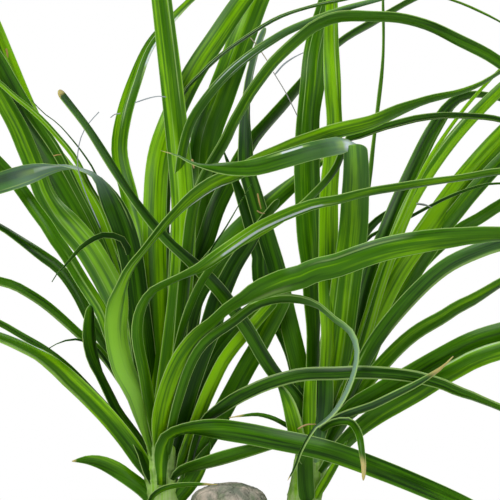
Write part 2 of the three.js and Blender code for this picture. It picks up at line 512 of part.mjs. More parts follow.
// Values spread evenly along a length, read at a share of it from 0 to 1.
function along(values, share) {
  const at = Math.min(Math.max(share, 0), 1) * (values.length - 1);
  const start = Math.min(Math.floor(at), values.length - 2);
  return THREE.MathUtils.lerp(
    values[start], values[start + 1], THREE.MathUtils.smoothstep(at - start, 0, 1),
  );
}

// The point at a depth that the front view shows at this place of the front plane.
function seenFromFront(across, up, depth) {
  const spread = (VIEW_DISTANCE + depth) / VIEW_DISTANCE;
  return new THREE.Vector3(
    VIEW_ACROSS + (across - VIEW_ACROSS) * spread, depth, VIEW_HEIGHT + (up - VIEW_HEIGHT) * spread,
  );
}

function routePoints({ depths, freeEnd, route }) {
  const lengths = [0];
  for (let i = 1; i < route.length; i += 1) {
    const step = Math.hypot(route[i][0] - route[i - 1][0], route[i][1] - route[i - 1][1]);
    lengths.push(lengths[i - 1] + step);
  }
  const whole = lengths[lengths.length - 1];
  const points = route.map(([across, up], i) => seenFromFront(
    across, up, along(depths, lengths[i] / whole),
  ));
  return freeEnd ? withFreeEnd(points, freeEnd) : points;
}

// Past its traced route a leaf goes on in the same direction and bends down under its weight.
function withFreeEnd(points, length) {
  const last = points[points.length - 1];
  const heading = last.clone().sub(points[points.length - 2]).normalize();
  const steps = Math.max(1, Math.round(length / FREE_STEP));
  for (let i = 0; i < steps; i += 1) {
    heading.z -= DROOP * (1 + i * DROOP_GROWTH);
    heading.normalize();
    points.push(points[points.length - 1].clone().addScaledVector(heading, length / steps));
  }
  return points;
}

// Share of the full width: a root inside the stem, a long even strap and a fine or cut tip.
function widthShare(share, cut) {
  const root = ROOT_WIDTH + (1 - ROOT_WIDTH) * THREE.MathUtils.smoothstep(share, 0, ROOT_LENGTH);
  return root * (cut + (1 - cut) * (1 - share ** TAPER[0]) ** TAPER[1]);
}

// Shares of the length where a leaf has a section: closer together where it bends or twists.
function sectionShares(curve, turnAt) {
  const fine = 160;
  const cost = [0];
  for (let i = 1; i <= fine; i += 1) {
    const before = curve.getTangentAt((i - 1) / fine);
    const bend = before.angleTo(curve.getTangentAt(i / fine));
    const twist = Math.abs(turnAt(i / fine) - turnAt((i - 1) / fine));
    const turned = (bend + TWIST_COST * twist) / SECTION_BEND;
    cost.push(cost[i - 1] + curve.getLength() / fine / SECTION_STEP + turned);
  }
  const total = cost[fine];
  const count = THREE.MathUtils.clamp(Math.round(total), LEAF_SHORTEST, LEAF_LONGEST);
  const shares = [0];
  for (let i = 1; i < count; i += 1) {
    shares.push(cost.findIndex((sum) => sum >= (total * i) / count) / fine);
  }
  return [...shares, 1];
}

// The direction across a blade that heads along a tangent: square to the view, level with the
// plant for a leaf that arches away behind it, and level with the ground for a hanging one.
const acrossView = (tangent) => new THREE.Vector3(0, -1, 0).cross(tangent).normalize();
const acrossPlant = (tangent) => (
  new THREE.Vector3(1, 0, 0).addScaledVector(tangent, -tangent.x).normalize()
);
const acrossGround = (tangent) => new THREE.Vector3(0, 0, 1).cross(tangent).normalize();

// A channelled blade along a curve. Each section has two sharp edges, a sunk middle and a keel.
function bladeSolid(points, width, cut, turnAt, acrossAt) {
  const curve = new THREE.CatmullRomCurve3(points, false, 'centripetal');
  const corners = [];
  const faces = [];
  const shares = sectionShares(curve, turnAt);
  shares.forEach((share) => {
    const centre = curve.getPointAt(share);
    const tangent = curve.getTangentAt(share);
    const flat = acrossAt(tangent);
    const edgewise = new THREE.Vector3().crossVectors(tangent, flat);
    const side = flat.multiplyScalar(Math.cos(turnAt(share)));
    side.addScaledVector(edgewise, Math.sin(turnAt(share)));
    const normal = new THREE.Vector3().crossVectors(side, tangent);
    const half = Math.max(width * widthShare(share, cut), TIP_WIDTH) / 2;
    const sink = BLADE_CHANNEL * 2 * half;
    const thick = Math.min(BLADE_THICKNESS, TIP_THICKNESS * half);
    const at = (sideways, outward) => centre.clone()
      .addScaledVector(side, sideways).addScaledVector(normal, outward);
    corners.push(at(half, sink / 2), at(0, thick / 2 - sink / 2));
    corners.push(at(-half, sink / 2), at(0, -thick / 2 - sink / 2));
  });
  for (let i = 0; i < shares.length - 1; i += 1) {
    for (let k = 0; k < 4; k += 1) {
      const a = i * 4 + k;
      const b = i * 4 + ((k + 1) % 4);
      const diagonalFromA = k % 2 === 0; // both faces are split alike, so that they never cross
      if (diagonalFromA) faces.push(a, b, b + 4, a, b + 4, a + 4);
      else faces.push(a, b, a + 4, b, b + 4, a + 4);
    }
  }
  const end = (shares.length - 1) * 4;
  faces.push(0, 2, 1, 0, 3, 2, end, end + 1, end + 2, end, end + 2, end + 3);
  const geometry = new THREE.BufferGeometry().setFromPoints(corners);
  geometry.setIndex(faces);
  return solidFrom(geometry);
}

function leafSolid(entry, acrossAt) {
  const turns = entry.turns.map((turn) => THREE.MathUtils.degToRad(turn));
  const points = routePoints(entry);
  const traced = 1 - entry.freeEnd / new THREE.CatmullRomCurve3(points).getLength();
  const turnAt = (share) => along(turns, share / traced);
  return bladeSolid(points, entry.width, entry.cut, turnAt, acrossAt);
}

// Repeatable draws from 0 to 1 for a seed.
function drawsFrom(seed) {
  let state = seed;
  return () => {
    state = (state * 1664525 + 1013904223) % 4294967296;
    return state / 4294967296;
  };
}

function skirtSolids({ axis, outward, seed }) {
  const draw = drawsFrom(seed);
  const between = ([low, high]) => low + (high - low) * draw();
  const eitherWay = (spread) => between([-spread / 2, spread / 2]);
  const foot = new THREE.CatmullRomCurve3(axis.map((point) => new THREE.Vector3(...point)));
  const solids = [];
  for (let i = 0; i < SKIRT_COUNT; i += 1) {
    const spread = (i + 0.5) / SKIRT_COUNT - 0.5;
    const angle = outward + spread * SKIRT_SPREAD + eitherWay(SKIRT_JITTER);
    const size = between(SKIRT_SIZE);
    const start = foot.getPoint(between(SKIRT_ROOT));
    start.z = Math.min(start.z, SKIRT_START);
    const sway = eitherWay(SKIRT_SWAY);
    const points = SKIRT_PATH.map(([out, up]) => {
      const heading = angle + (sway * out) / SWAY_REACH;
      return new THREE.Vector3(Math.cos(heading) * out, Math.sin(heading) * out, up)
        .multiplyScalar(size).add(start);
    });
    const turn = eitherWay(SKIRT_TURN);
    solids.push(bladeSolid(points, SKIRT_WIDTH, 0, (share) => turn * share, acrossGround));
  }
  return solids;
}

// Shoots

function stemSolid(axis, radius) {
  const path = new THREE.CatmullRomCurve3(axis.map((point) => new THREE.Vector3(...point)));
  const section = new THREE.Shape().absarc(0, 0, radius, 0, 2 * Math.PI, false);
  const geometry = new THREE.ExtrudeGeometry(section, {
    steps: SHOOT_STEPS, curveSegments: SHOOT_SIDES, extrudePath: path,
  });
  return solidFrom(geometry);
}

function budSolid({ axis, budRadius }) {
  const profile = [...BUD_FOOT, [budRadius, BUD_SHOULDER_UP], ...BUD_TOP];
  return solidFrom(revolved(profile, SHOOT_SIDES).translate(...axis[axis.length - 1]));
}

function shootSolid(shoot) {
  const stem = stemSolid(shoot.axis, SHOOT_RADIUS).add(budSolid(shoot));
  const leaves = shoot.leaves.map((entry) => leafSolid(entry, acrossView));
  const behind = shoot.behind.map((entry) => leafSolid(entry, acrossPlant));
  return welded(joined([stem, ...leaves, ...behind, ...skirtSolids(shoot)]));
}

// The hole that a shoot's foot sits in, a clearance larger than the foot all round.
function socketSolid({ axis }) {
  const [first, second] = axis.map((point) => new THREE.Vector3(...point));
  const deeper = first.clone().sub(second).setLength(SOCKET_GAP).add(first);
  return stemSolid([deeper.toArray(), ...axis], SHOOT_RADIUS + SOCKET_GAP);
}

// The whole plant

function piece(name, solid, color, roughness) {
  const material = new THREE.MeshStandardMaterial({ color, roughness, metalness: 0 });
  const mesh = new THREE.Mesh(geometryFrom(solid), material);
  mesh.name = name;
  return mesh;
}

const sockets = socketSolid(LEFT_SHOOT).add(socketSolid(RIGHT_SHOOT));
const ponytailPalm = new THREE.Group();
ponytailPalm.add(
  piece('pot', potSolid(), 0xb5653f, 0.85),
  piece('soil', soilSolid(), 0x3a2a1e, 0.95),
  piece('trunk', trunkSolid(sockets), 0x8d8577, 0.9),
  piece('shoot_left', shootSolid(LEFT_SHOOT), 0x4c7f14, 0.4),
  piece('shoot_right', shootSolid(RIGHT_SHOOT), 0x568a18, 0.4),
);

export default ponytailPalm;
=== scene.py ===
"""Potted ponytail palm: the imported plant's leaves, bark, clay and soil, and its stage.

Lengths are in metres, apart from those of leaves, shoots, trunk and the soil's relief, which are
in millimetres, as in the part's source.
"""
import math
import random

import bmesh
import bpy
import numpy as np
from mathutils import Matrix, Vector, noise


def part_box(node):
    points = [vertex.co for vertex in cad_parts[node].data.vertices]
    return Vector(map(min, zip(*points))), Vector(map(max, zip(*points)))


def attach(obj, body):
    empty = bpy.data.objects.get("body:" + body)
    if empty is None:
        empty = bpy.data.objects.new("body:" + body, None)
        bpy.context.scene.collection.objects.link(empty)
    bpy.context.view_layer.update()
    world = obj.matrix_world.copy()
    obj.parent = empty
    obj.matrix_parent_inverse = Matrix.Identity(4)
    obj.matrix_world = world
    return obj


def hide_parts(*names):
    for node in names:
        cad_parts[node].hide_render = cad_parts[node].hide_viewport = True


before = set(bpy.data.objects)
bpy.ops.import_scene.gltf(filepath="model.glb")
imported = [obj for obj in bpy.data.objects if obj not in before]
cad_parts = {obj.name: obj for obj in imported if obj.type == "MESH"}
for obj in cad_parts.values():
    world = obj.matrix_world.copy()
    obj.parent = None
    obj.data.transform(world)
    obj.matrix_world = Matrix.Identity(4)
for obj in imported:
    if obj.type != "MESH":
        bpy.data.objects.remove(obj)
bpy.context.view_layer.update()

bl_info = {
    "name": "Potted Ponytail Palm",
    "version": (1, 0, 0),
    "blender": (4, 5, 0),
    "location": "3D View > Sidebar > Palm",
    "description": "Leaves, bark, clay pot and soil for a potted ponytail palm",
    "category": "Add Mesh",
}

MM = 0.001
BODY = "root"

# The front view: the camera stands this far off, level, and its frame is this wide at the plant.
VIEW_DISTANCE = 4.0
VIEW_ACROSS = 0.0147
VIEW_HEIGHT = 0.5624
VIEW_WIDTH = 0.35
SENSOR_WIDTH = 36.0
VIEW_END = 60.0
FLOOR_SIDES = 96

POT_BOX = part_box("pot")
POT_HEIGHT = POT_BOX[1][2]
POT_RIM_RADIUS = POT_BOX[1][0]

# Leaves, in millimetres

BLADE_CHANNEL = 0.14  # depth of the channel, as a share of the width
EDGE_THINNING = 0.72  # how much of its thickness a blade loses at its edges
TIP_WIDTH = 0.7
ROOT_WIDTH = 0.45  # share of the width at the root
ROOT_LENGTH = 0.09  # share of the length over which the root widens
TAPER_POWER = 4
TAPER_FALL = 0.9
FEWEST_SECTIONS, MOST_SECTIONS = 16, 130
FREE_STEP = 40
DROOP = 0.13
DROOP_GROWTH = 0.35
DRIED_TIP = 16.0  # length of the dried tip of a free end
HEADING_STEP = 1.5  # a leaf's heading is read this far before and after a point
ACROSS = (-1.0, -0.86, -0.6, -0.3, 0.0, 0.3, 0.6, 0.86, 1.0)
NARROW = 6.0  # a leaf narrower than this has a finer margin too
CUT_ROUNDING = 5.0  # a cut end is rounded over this length
CUT_FLATNESS = 0.96
CUT_STEPS = np.array([5.0, 3.8, 2.7, 1.8, 1.0, 0.4, 0.0])  # sections before a cut end
LINE_FADE = 0.03  # share of the length over which a pale line starts and ends
RIPPLE_HEIGHT = 0.22
RIPPLE_LENGTH = 45  # the shortest wave of an edge
RIPPLE_SPREAD = 30  # how much longer the longest is
RIPPLE_WAVE = 6.28  # radians
NO_LINE = (0.0, 0.0, 0.0, 1.0, 0.0)
TO_VIEWER = (0, -1, 0)
UPWARD = (0, 0, 1)


def row(text):
    """A text's numbers. An item that holds commas becomes a tuple."""
    items = [tuple(float(number) for number in item.split(",")) for item in text.split()]
    return [item if len(item) > 1 else item[0] for item in items]


def leaf(width, turns, depths, free_end, route, cut=0.0, tones="", sheens="0 0", dried=0.0,
         lines=""):
    """A leaf's width, the turns of its face, its depths, its free end and its route.

    The route is x and z in the front view. Turns, in degrees, depths, tones (0 dark to 1 bright,
    the leaf's own greens together with painted light and shade) and sheens (0 green to 1 silvery,
    the waxy bloom together with a painted sheen where the leaf reflects the light) are spread
    evenly along it. A cut leaf keeps a share of its width at its end. The last stretch of a leaf
    is dried, and so is the tip of a free end. Up to two pale lines run along it, each with its
    offset from the middle (-1 to 1), the shares of the route where it starts and ends, its width
    and its strength: weaker lines are pale margins and streaks, and the strongest are a painted
    highlight where a fold or rim catches the light.
    """
    return {
        "width": width, "turns": row(turns), "depths": row(depths), "free_end": free_end,
        "route": row(route), "cut": cut, "tones": row(tones), "sheens": row(sheens),
        "lines": row(lines), "dried": dried or (DRIED_TIP if free_end else 0.0),
    }


# Each leaf's tones hold its own shades of green together with the light and shade painted on it:
# low where it lies in shade, high where it is lit
LEFT_TALL = [
    leaf(17, "20 0 10", "2 14 45", 200,
         "-47,410 -44,455 -38,500 -33,545 -32,590 -37,650 -47,737", tones=".5 .6 .75 .7 .6",
         lines="-.55,.78,1.1,.6,.74 .3,.3,.75,.4,.3"),
    leaf(17, "50 20 5 0 90 180", "2 14 20 12", 190,
         "-52,410 -57,470 -64,525 -69,560 -76,583 -86,604 -92,613 -98,617 -104,618.5 -110,620.5 "
         "-125,620 -140,616 -155,611 -160,609.5", tones=".15 .15 .15 .2 .3",
         sheens="0 0 0 0 0 0 0 .9 1 .2", lines=".1,.8,.93,3.2,.9 -.7,.62,1,.6,.7"),
    leaf(13, "60 0 -20 -60", "6 60 110 160", 170,
         "-50,410 -57,500 -62,566 -70,600 -77,632 -74,656 -66,682 -56,706 -41,724 -26,739",
         tones=".55 .7 .5", lines="-.15,.7,.95,.4,.8 -.9,.8,.97,1.2,.95"),
    leaf(17, "50 0 0", "2 24 50 80", 180,
         "-49,410 -50,470 -51,530 -52,590 -49,628 -42,650 -26,684 -8,712 9,737",
         tones=".6 .6 .75 .65"),
    leaf(22, "30 0 0", "0 24 70 125", 180,
         "-42,410 -37,460 -30,520 -22,570 -19,610 -16.5,640 -6,670 5,700 12.5,720 19,737",
         tones=".4 .5 .6", lines=".25,.55,.9,.4,.35"),
    leaf(13, "60 20 0 10 50 62 62", "4 30 60 80", 120,
         "-42,410 -37,490 -27,540 -20,560 -16,570 -9.5,590 -2.5,605 5,619 11.5,631 18,641 27,651 "
         "38,663 50,677.5 78,707.5 103,722.5 128,737", tones=".2 .25 .4"),
    leaf(10.5, "60 30 40 45 45 38 42 0", "-4 -14 -40 -80", 200,
         "-40,410 -34,500 -29,560 -25,590 -20,606 -14,619 -5.5,633 -1,641 3,650 9,661 14.5,671 "
         "22,681.5 31,693 40,702 50,711 60,719 75,725 100,725.5 120,724.5 140,719 160,709.6 "
         "180,699.8 190,693.3", tones=".4 .4 .5 .45", lines=".85,.4,.75,.35,.5"),
    leaf(8, "50 30 20", "4 30 20 -20 -60", 30,
         "-44,410 -40,520 -34,620 -29,645 -25,655 -17,667 -8,678 4,690 20,702.5 30,709 40,715 "
         "60,723.5 80,731 100,736.5 125,742", tones=".3 .4 .5 .4", sheens="0 0 0 .2 .35",
         lines=".6,.62,.74,.4,.9 -.4,.65,.76,.35,.9"),
    leaf(9, "60 70 75 78 78", "6 40 60 55 20 -5 -15", 60,
         "-46,410 -44,540 -38,650 -31,673 -18,687 -5,699 10,710 35,725 55,732 78,737 110,743 "
         "140,741.5 160,736 175,729.5 190,722", tones=".3 .35 .4", lines=".7,.5,.8,.4,.85"),
    leaf(2, "0 0", "-10 -18 -22", 0,
         "-44,412 -34,500 -15,558 -3,577 7,594 16,609", tones=".1 .1"),
    leaf(20, "40 10 0", "2 20 35", 10,
         "-44,412 -38,470 -26,530 -6,558 4,571 14,581.5 30,596 40,604.5 48,611 68,626.5",
         tones=".3 .4 .5"),
]
LEFT_ARCHING_RIGHT = [
    leaf(16, "75 50 30 5 0 66 76 68 56 50 48 45 44 52 64 76 80", "-6 -30 -50 -52 -48 -54 -70", 120,
         "-52,412 -58,438 -64,460 -74,480 -79,503 -78.5,518 -75,535 -69,549 -60,561 -47,576.5 "
         "-36,589 -25,599 -10,609 5,615 20,623.5 35,630 47,635.5 60,640 75,645 85,647.5 100,651.5 "
         "120,660 140,667.3 150,669.7 160,672 170,675.5 180,680.5 190,687",
         tones=".7 .85 .9 .55 .55 .7 .75 .6 .5", sheens=".1 .2 .1 0 0 0 0 0 0",
         lines="-.75,.42,.56,1.3,.95 .5,.3,.42,.5,.6"),
    leaf(7, "60 40 40 50 40 30 30", "-2 -20 -40 -36 -26 -40 -55", 100,
         "-44,410 -40,470 -30,515 -16,545 0,562 20,573 35,582 50,592.5 60,602 70,613 76,622 "
         "80,632 84,640 92,642.5 100,645.5 110,649 120,651.5 130,654 140,655.5 150,656.5 "
         "160,656.5 170,656 180,655.3 190,653.5", tones=".5 .6 .8 .3 .2", lines="-.5,.72,1,.5,.6"),
    leaf(9, "60 20 30 60 10 25 45 50 50", "-4 -40 -55 -70 -80", 170,
         "-50,412 -54,445 -59,475 -64,503 -62,520 -54,533 -44,538.5 -30,545 -20,550 -10,557 0,564 "
         "10,571 20,577.5 30,582.5 40,587 50,591 60,594.5 75,597 100,603.2 120,606.5 140,609.5 "
         "165,613 190,617.2", tones=".6 .5 .55 .55",
         lines="-.35,.46,.7,1.3,.97 .35,.47,.56,.4,.6"),
    leaf(17, "20 25 30 35 40 50 64 60 30 0 0 0 0 5 22 38 47", "-8 -40 -60 -80 -95", 200,
         "-47,405 -47,435 -43,460 -35,482 -26,496.5 -18,505.5 -10,512.5 0,521 10,527 20,533 "
         "30,537.5 40,541 50,543.5 60,548 75,551.5 90,557 105,562 120,565.5 150,570 190,572.8",
         tones=".75 .75 .5 .45 .6 .5", lines="-.6,.38,.54,2.8,.4 .6,.62,.8,.9,.4"),
    leaf(7, "50 30 20 10 0 20 50 52 52 50 50", "-6 -42 -50 -56 -62", 0,
         "-45,405 -36,455 -20,494 4,513 20,524.5 40,528.5 60,524.5 74,513.5 84,506 88.5,497 "
         "89.3,490 88,480 85,470 80.5,460 75,451 68,443.5 61,439 55,430.5 50,421 46.5,411 41,401",
         cut=0.2, tones=".2 .2 .25 .3 .4 .2 .1", sheens="0 0 0 0 0 0 .1 .9 .8 0 0", dried=5,
         lines=".7,.36,.62,.5,.7 .8,.64,.95,.5,.6"),
    leaf(15, "0 60 0 0 0 0 0", "-14 -30 -45 -50", 130,
         "-47,398 -47,418 -43,431 -33,436 -12,437 12,434 32,430 52,426 72,421 100,411 130,399 "
         "170,381", tones=".5 .4 .3 .3 .35 .4"),
    leaf(12, "60 30 20", "-8 -22 -26", 0,
         "-40,401 -34,407 -16,413 4,419 24,424 42,427", tones=".2 .3 .35", lines="-.8,.2,1,.8,.6"),
    leaf(9.5, "40 50 10 5 0 15 30 55", "-6 -28 -45 -60", 140,
         "-30,402 -24,425 -17,442 -6,451 6,459 15,463.5 25,468 40,472.8 50,475 60,475.8 75,476 "
         "90,476.8 100,476.5 110,476 120,475 130,473.5 140,471 150,468 160,463.5 170,460 "
         "180,455.7 190,451.7", tones=".25 .15 .15 .2 .35",
         lines=".85,.3,1.05,.6,.6 -.85,.12,1.05,.6,.7"),
    leaf(16, "30 10 0 30 40", "-4 -16 -20", 0,
         "-43,405 -37,432 -30,461 -21,488 -13,508 -7,528 -1,541 5,553 13,565 24,582 35,598",
         cut=0.3, tones=".15 .15 .2"),
    leaf(14, "30 10 0", "-2 -6 -4", 0,
         "-40,405 -30,432 -21,461 -9,488 6,506 18,518 30,529", cut=0.6, tones=".1 .3 .6"),
    leaf(10, "40 20 10", "-6 -10 -6", 0,
         "-36,405 -27,430 -21.5,445 -15.5,460 -10,472 -4,484 4.5,496 16,509 33,528", cut=0.7,
         tones=".4 .75 .9 .85 .6"),
    leaf(14, "50 10 0", "-4 0 4", 0,
         "-38,386 -29,402 -19,422 -8,442 -4,450 2.5,462 12.7,481 20.3,494 26.5,506 33,518 39,530",
         cut=0.8, tones=".35 .5 .5"),
    leaf(14, "20 0", "-4 -9", 0,
         "-46,378 -37,389 -27,401 -20,413 -13,428", tones=".35 .35"),
]
LEFT_SPREADING = [
    leaf(4.5, "30 30 20", "-16 -26 -30", 0,
         "-52,376 -55,387 -50,393 -42,396.5 -27,398.3 -8,398.3", tones=".3 .35", dried=14),
    leaf(12.5, "60 35 30 0 0 0", "-2 -12 -22", 0,
         "-50,381 -57,392.5 -70,403 -80,409.3 -90,413.8 -100,415.5 -110,414.5", tones=".35 .5 .5",
         dried=5),
    leaf(12.5, "50 10 0 0 0 30 52 58", "-6 -25 -60", 190,
         "-48,393 -53,401 -61,414 -71,428.5 -85,445.5 -100,461 -110,470.5 -120,480 -130,487.5 "
         "-145,495.5 -160,502", tones=".45 .6 .65 .5",
         lines="-.85,.74,1.05,.8,.9 .8,.5,1,1.4,.45"),
    leaf(20, "58 62 66 72 74 74 57 42 35", "-4 -8 -14 -16", 0,
         "-50,396 -55.5,412 -60.5,425 -68,437.5 -77,450 -82,460 -87,470 -91.8,480 -95.5,490 "
         "-97.3,500 -97.5,512 -96.8,524", cut=0.25, tones=".05 .05 .2"),
    leaf(7, "60 30 10", "0 10 0 -20", 160,
         "-51,412 -57,436 -66,456 -76,472 -84,484 -95,496 -104,503 -110,508.5 -120,517.5 "
         "-130,525.5 -140,532 -150,537.5 -160,540.5", tones=".4 .45", lines=".8,.4,1.05,.7,.5"),
    leaf(5, "60 10 0", "-2 0 -20", 140,
         "-50,405 -62,424 -78,444 -95,462.5 -112,480 -128,492.5 -146,503 -160,511",
         tones=".2 .25"),
    leaf(8.5, "60 20 0 0 60", "2 30 60", 170,
         "-52,412 -60,445 -70,470 -82,490 -95,510 -100,520 -105,530 -112,541 -120,550.5 -130,558 "
         "-140,565.5 -150,572.5 -160,579", tones=".3 .3"),
    leaf(10, "60 20 0", "0 -6 10 30", 170,
         "-51,412 -62,455 -72,478 -80,495 -89.5,520 -95.5,530 -102,540 -108,550 -114,560 "
         "-121.4,570 -127.5,580 -135,590 -142,600 -149.5,610 -160,622", tones=".45 .45",
         lines="0,.3,.65,.9,.5"),
    leaf(19, "58 40 20 0 0 0 38 40 40", "2 25 60", 180,
         "-50,412 -57,455 -66,492 -77,523 -83.5,537.5 -93,554.7 -99.5,564.7 -108.5,575.5 "
         "-119.5,588 -128,601 -132.5,612.5 -137.5,625.7 -141,634 -147,648 -154,661",
         tones=".8 .8 .65 .6", sheens=".1 .2 .05 0", lines=".35,.45,.8,.5,.5 -.6,.45,.8,.5,.5"),
    leaf(24, "50 50 45 40 20 0", "4 50 100", 180,
         "-50,412 -60,470 -72,507 -84,541 -98,576 -112,603 -127,630 -144,655 -158,679 -164,690",
         tones=".5 .6 .55 .3 .25", lines="-.2,.5,.85,.5,.6 -.75,.45,.8,.5,.6"),
    leaf(15.5, "50 10 0", "6 70 140", 180,
         "-50,412 -60,480 -70,515 -80,550 -93,583.5 -105.5,606 -116.5,620 -129.5,637 -141.3,660 "
         "-156,696 -166,721", tones=".5 .8 .85", lines=".1,.55,.8,.5,.7 -.8,.45,.8,.6,.6"),
    leaf(4.5, "60 20 20", "0 20 30", 150,
         "-50,412 -60,480 -70,540 -81,572 -88,590 -93.5,600 -98.5,608 -104,620 -110,630 -120,642 "
         "-130,653 -140,662 -150,670 -160,679", tones=".4 .65 .7", lines="0,.5,1,.5,.6"),
    leaf(2, "10 0", "3 24 34", 0,
         "-50,412 -62,490 -76,550 -86,590 -93,615 -100,627 -110,640 -120,651 -130,658.5 -138,667",
         tones=".1 .1"),
    leaf(6, "60 40 10 0", "0 14 24 14 -14", 0,
         "-51,412 -58,480 -66,545 -72,566 -76,571 -85,573 -90,572.5 -97,569 -105,563 -110,557 "
         "-117,549 -122,544 -124,540", tones="0 0"),
    leaf(3, "0 0", "4 0 -10", 0,
         "-53,415 -66,450 -84,482 -95,495.5 -103,499.5 -112,499.5 -120,497 -127,493",
         tones=".05 .05"),
]
LEFT_BEHIND = [
    leaf(12, "0 0", "4 40 120 200 280 340 400", 120,
         "-45,410 -43,490 -42,550 -42,575 -43,545 -46,470 -50,395"),
    leaf(11, "0 0", "4 90 210 330", 150,
         "-46,410 -40,480 -36,530 -33,575"),
    leaf(12, "0 20", "4 60 120 190", 170,
         "-44,412 -30,520 -16,620 -8,665 2,700 14,725"),
    leaf(12, "0 0", "6 90 210 360", 150,
         "-50,412 -58,470 -66,520 -78,566"),
]
RIGHT_TALL = [
    leaf(21.5, "30 10 0 0", "0 6 -10 -50", 0,
         "62,425 67,443 76,492 82.3,541 87,576 88.4,600 89,611 89,624 88.4,636.5", cut=0.75,
         tones=".6 .65 .55 .5", sheens="0 0 0 .15", lines=".55,.3,.6,.5,.4 -.3,.25,.55,.5,.3"),
    leaf(13, "20 10 0 0 30 78 80", "-46 -74 -80 -84 -84", 0,
         "89,634 81,636 70,634.5 55,631 40,626.5 15,620 -10,620.5 -25,623 -35,628 -48,632",
         tones=".5 .3 .35 .45 .5", sheens="1 .15 0 0 0", dried=12,
         lines="0,-.1,.1,5,1 -.7,.3,.45,1,1"),
    leaf(20, "60 66 62 50 15 20 30 5 48", "-4 20 60", 170,
         "58,418 59,457 60,500 59.5,524 58.5,551 57,577 56,597 55,617 55.5,640 56.5,660 59,680 "
         "61,700 69,737", tones=".5 .5 .45 .5", lines=".6,.72,1,.35,.75 -.2,.84,.95,.4,.45"),
    leaf(16, "62 64 52 28 28 34 36 5 0", "-4 0 30", 60,
         "60,418 66,457 70,500 70,525 70,550 70.5,600 72.5,625 74.5,650 73.3,670 72.2,688 "
         "71.7,700 71.5,720 72,737", tones=".6 .75 .8 .7", lines="-.4,.8,1,.5,.7"),
    leaf(5, "60 50 50", "10 40 55", 60,
         "62,420 72,480 85,545 97,600 101,635 105,667 108,697 108,735", tones=".4 .4"),
    leaf(13.3, "40 10 0 0 15 55 50", "2 16 40", 0,
         "58,418 55,450 50,478 44.7,500 39.8,520 33.5,548 26,573 18,600 12.5,620 11.8,640 12,660 "
         "14,680 17.5,695 21.5,708 25.5,718", cut=0.4, tones=".4 .3 .15 .2 .25",
         sheens="0 0 0 0 0 .2 .6", lines="-.3,.8,1,1.5,.85"),
    leaf(14, "40 0 0 30", "0 14 30", 0,
         "57,418 54,450 46,490 34,516 22,545 22,557 15.5,579 8.5,600 5,609 -5,635", tones=".1 .1"),
]
RIGHT_REACHING_LEFT = [
    leaf(10, "20 0", "-12 -15 -14", 0,
         "55,404 56,430 56.5,455 57.5,476", cut=0.8, tones=".6 .75"),
    leaf(14, "20 0", "-10 -13 -12", 0,
         "60,410 64,435 66.5,456 67,476", cut=0.8, tones=".8 .3 .25", sheens=".5 .1 0"),
    leaf(12, "10 0", "-13 -15", 0,
         "55,386 54,396 53.5,408 54,424", cut=0.7, tones=".3 .35"),
    leaf(10, "40 20 0 10 45 52 52 50", "-6 -14 -26 -32 -36", 0,
         "61,425 57,440 52,452 46,461 41,466 34,473.5 28.5,481 21.8,491.5 14.8,504 6,517 -8,536 "
         "-27,555 -40,566.5 -50,577.5 -67.5,600 -80,619 -86,628.5 -100,650 -119,674.5", cut=0.75,
         tones=".2 .2 .2 .3", sheens="0 0 0 .1", dried=6),
    leaf(12, "30 0", "-12 -24 -26", 0,
         "56,412 48.5,430 45,444 42.5,453 38.5,462.5 33,471", tones=".5 .85 .85 .4",
         lines="-.85,.2,1,1.2,.7"),
    leaf(3.5, "30 10 0", "-8 -22 -26", 0,
         "56,428 49,434.5 40,440 30,445 20,447.3 10,446.5 0,445", tones=".35 .3", dried=14),
]
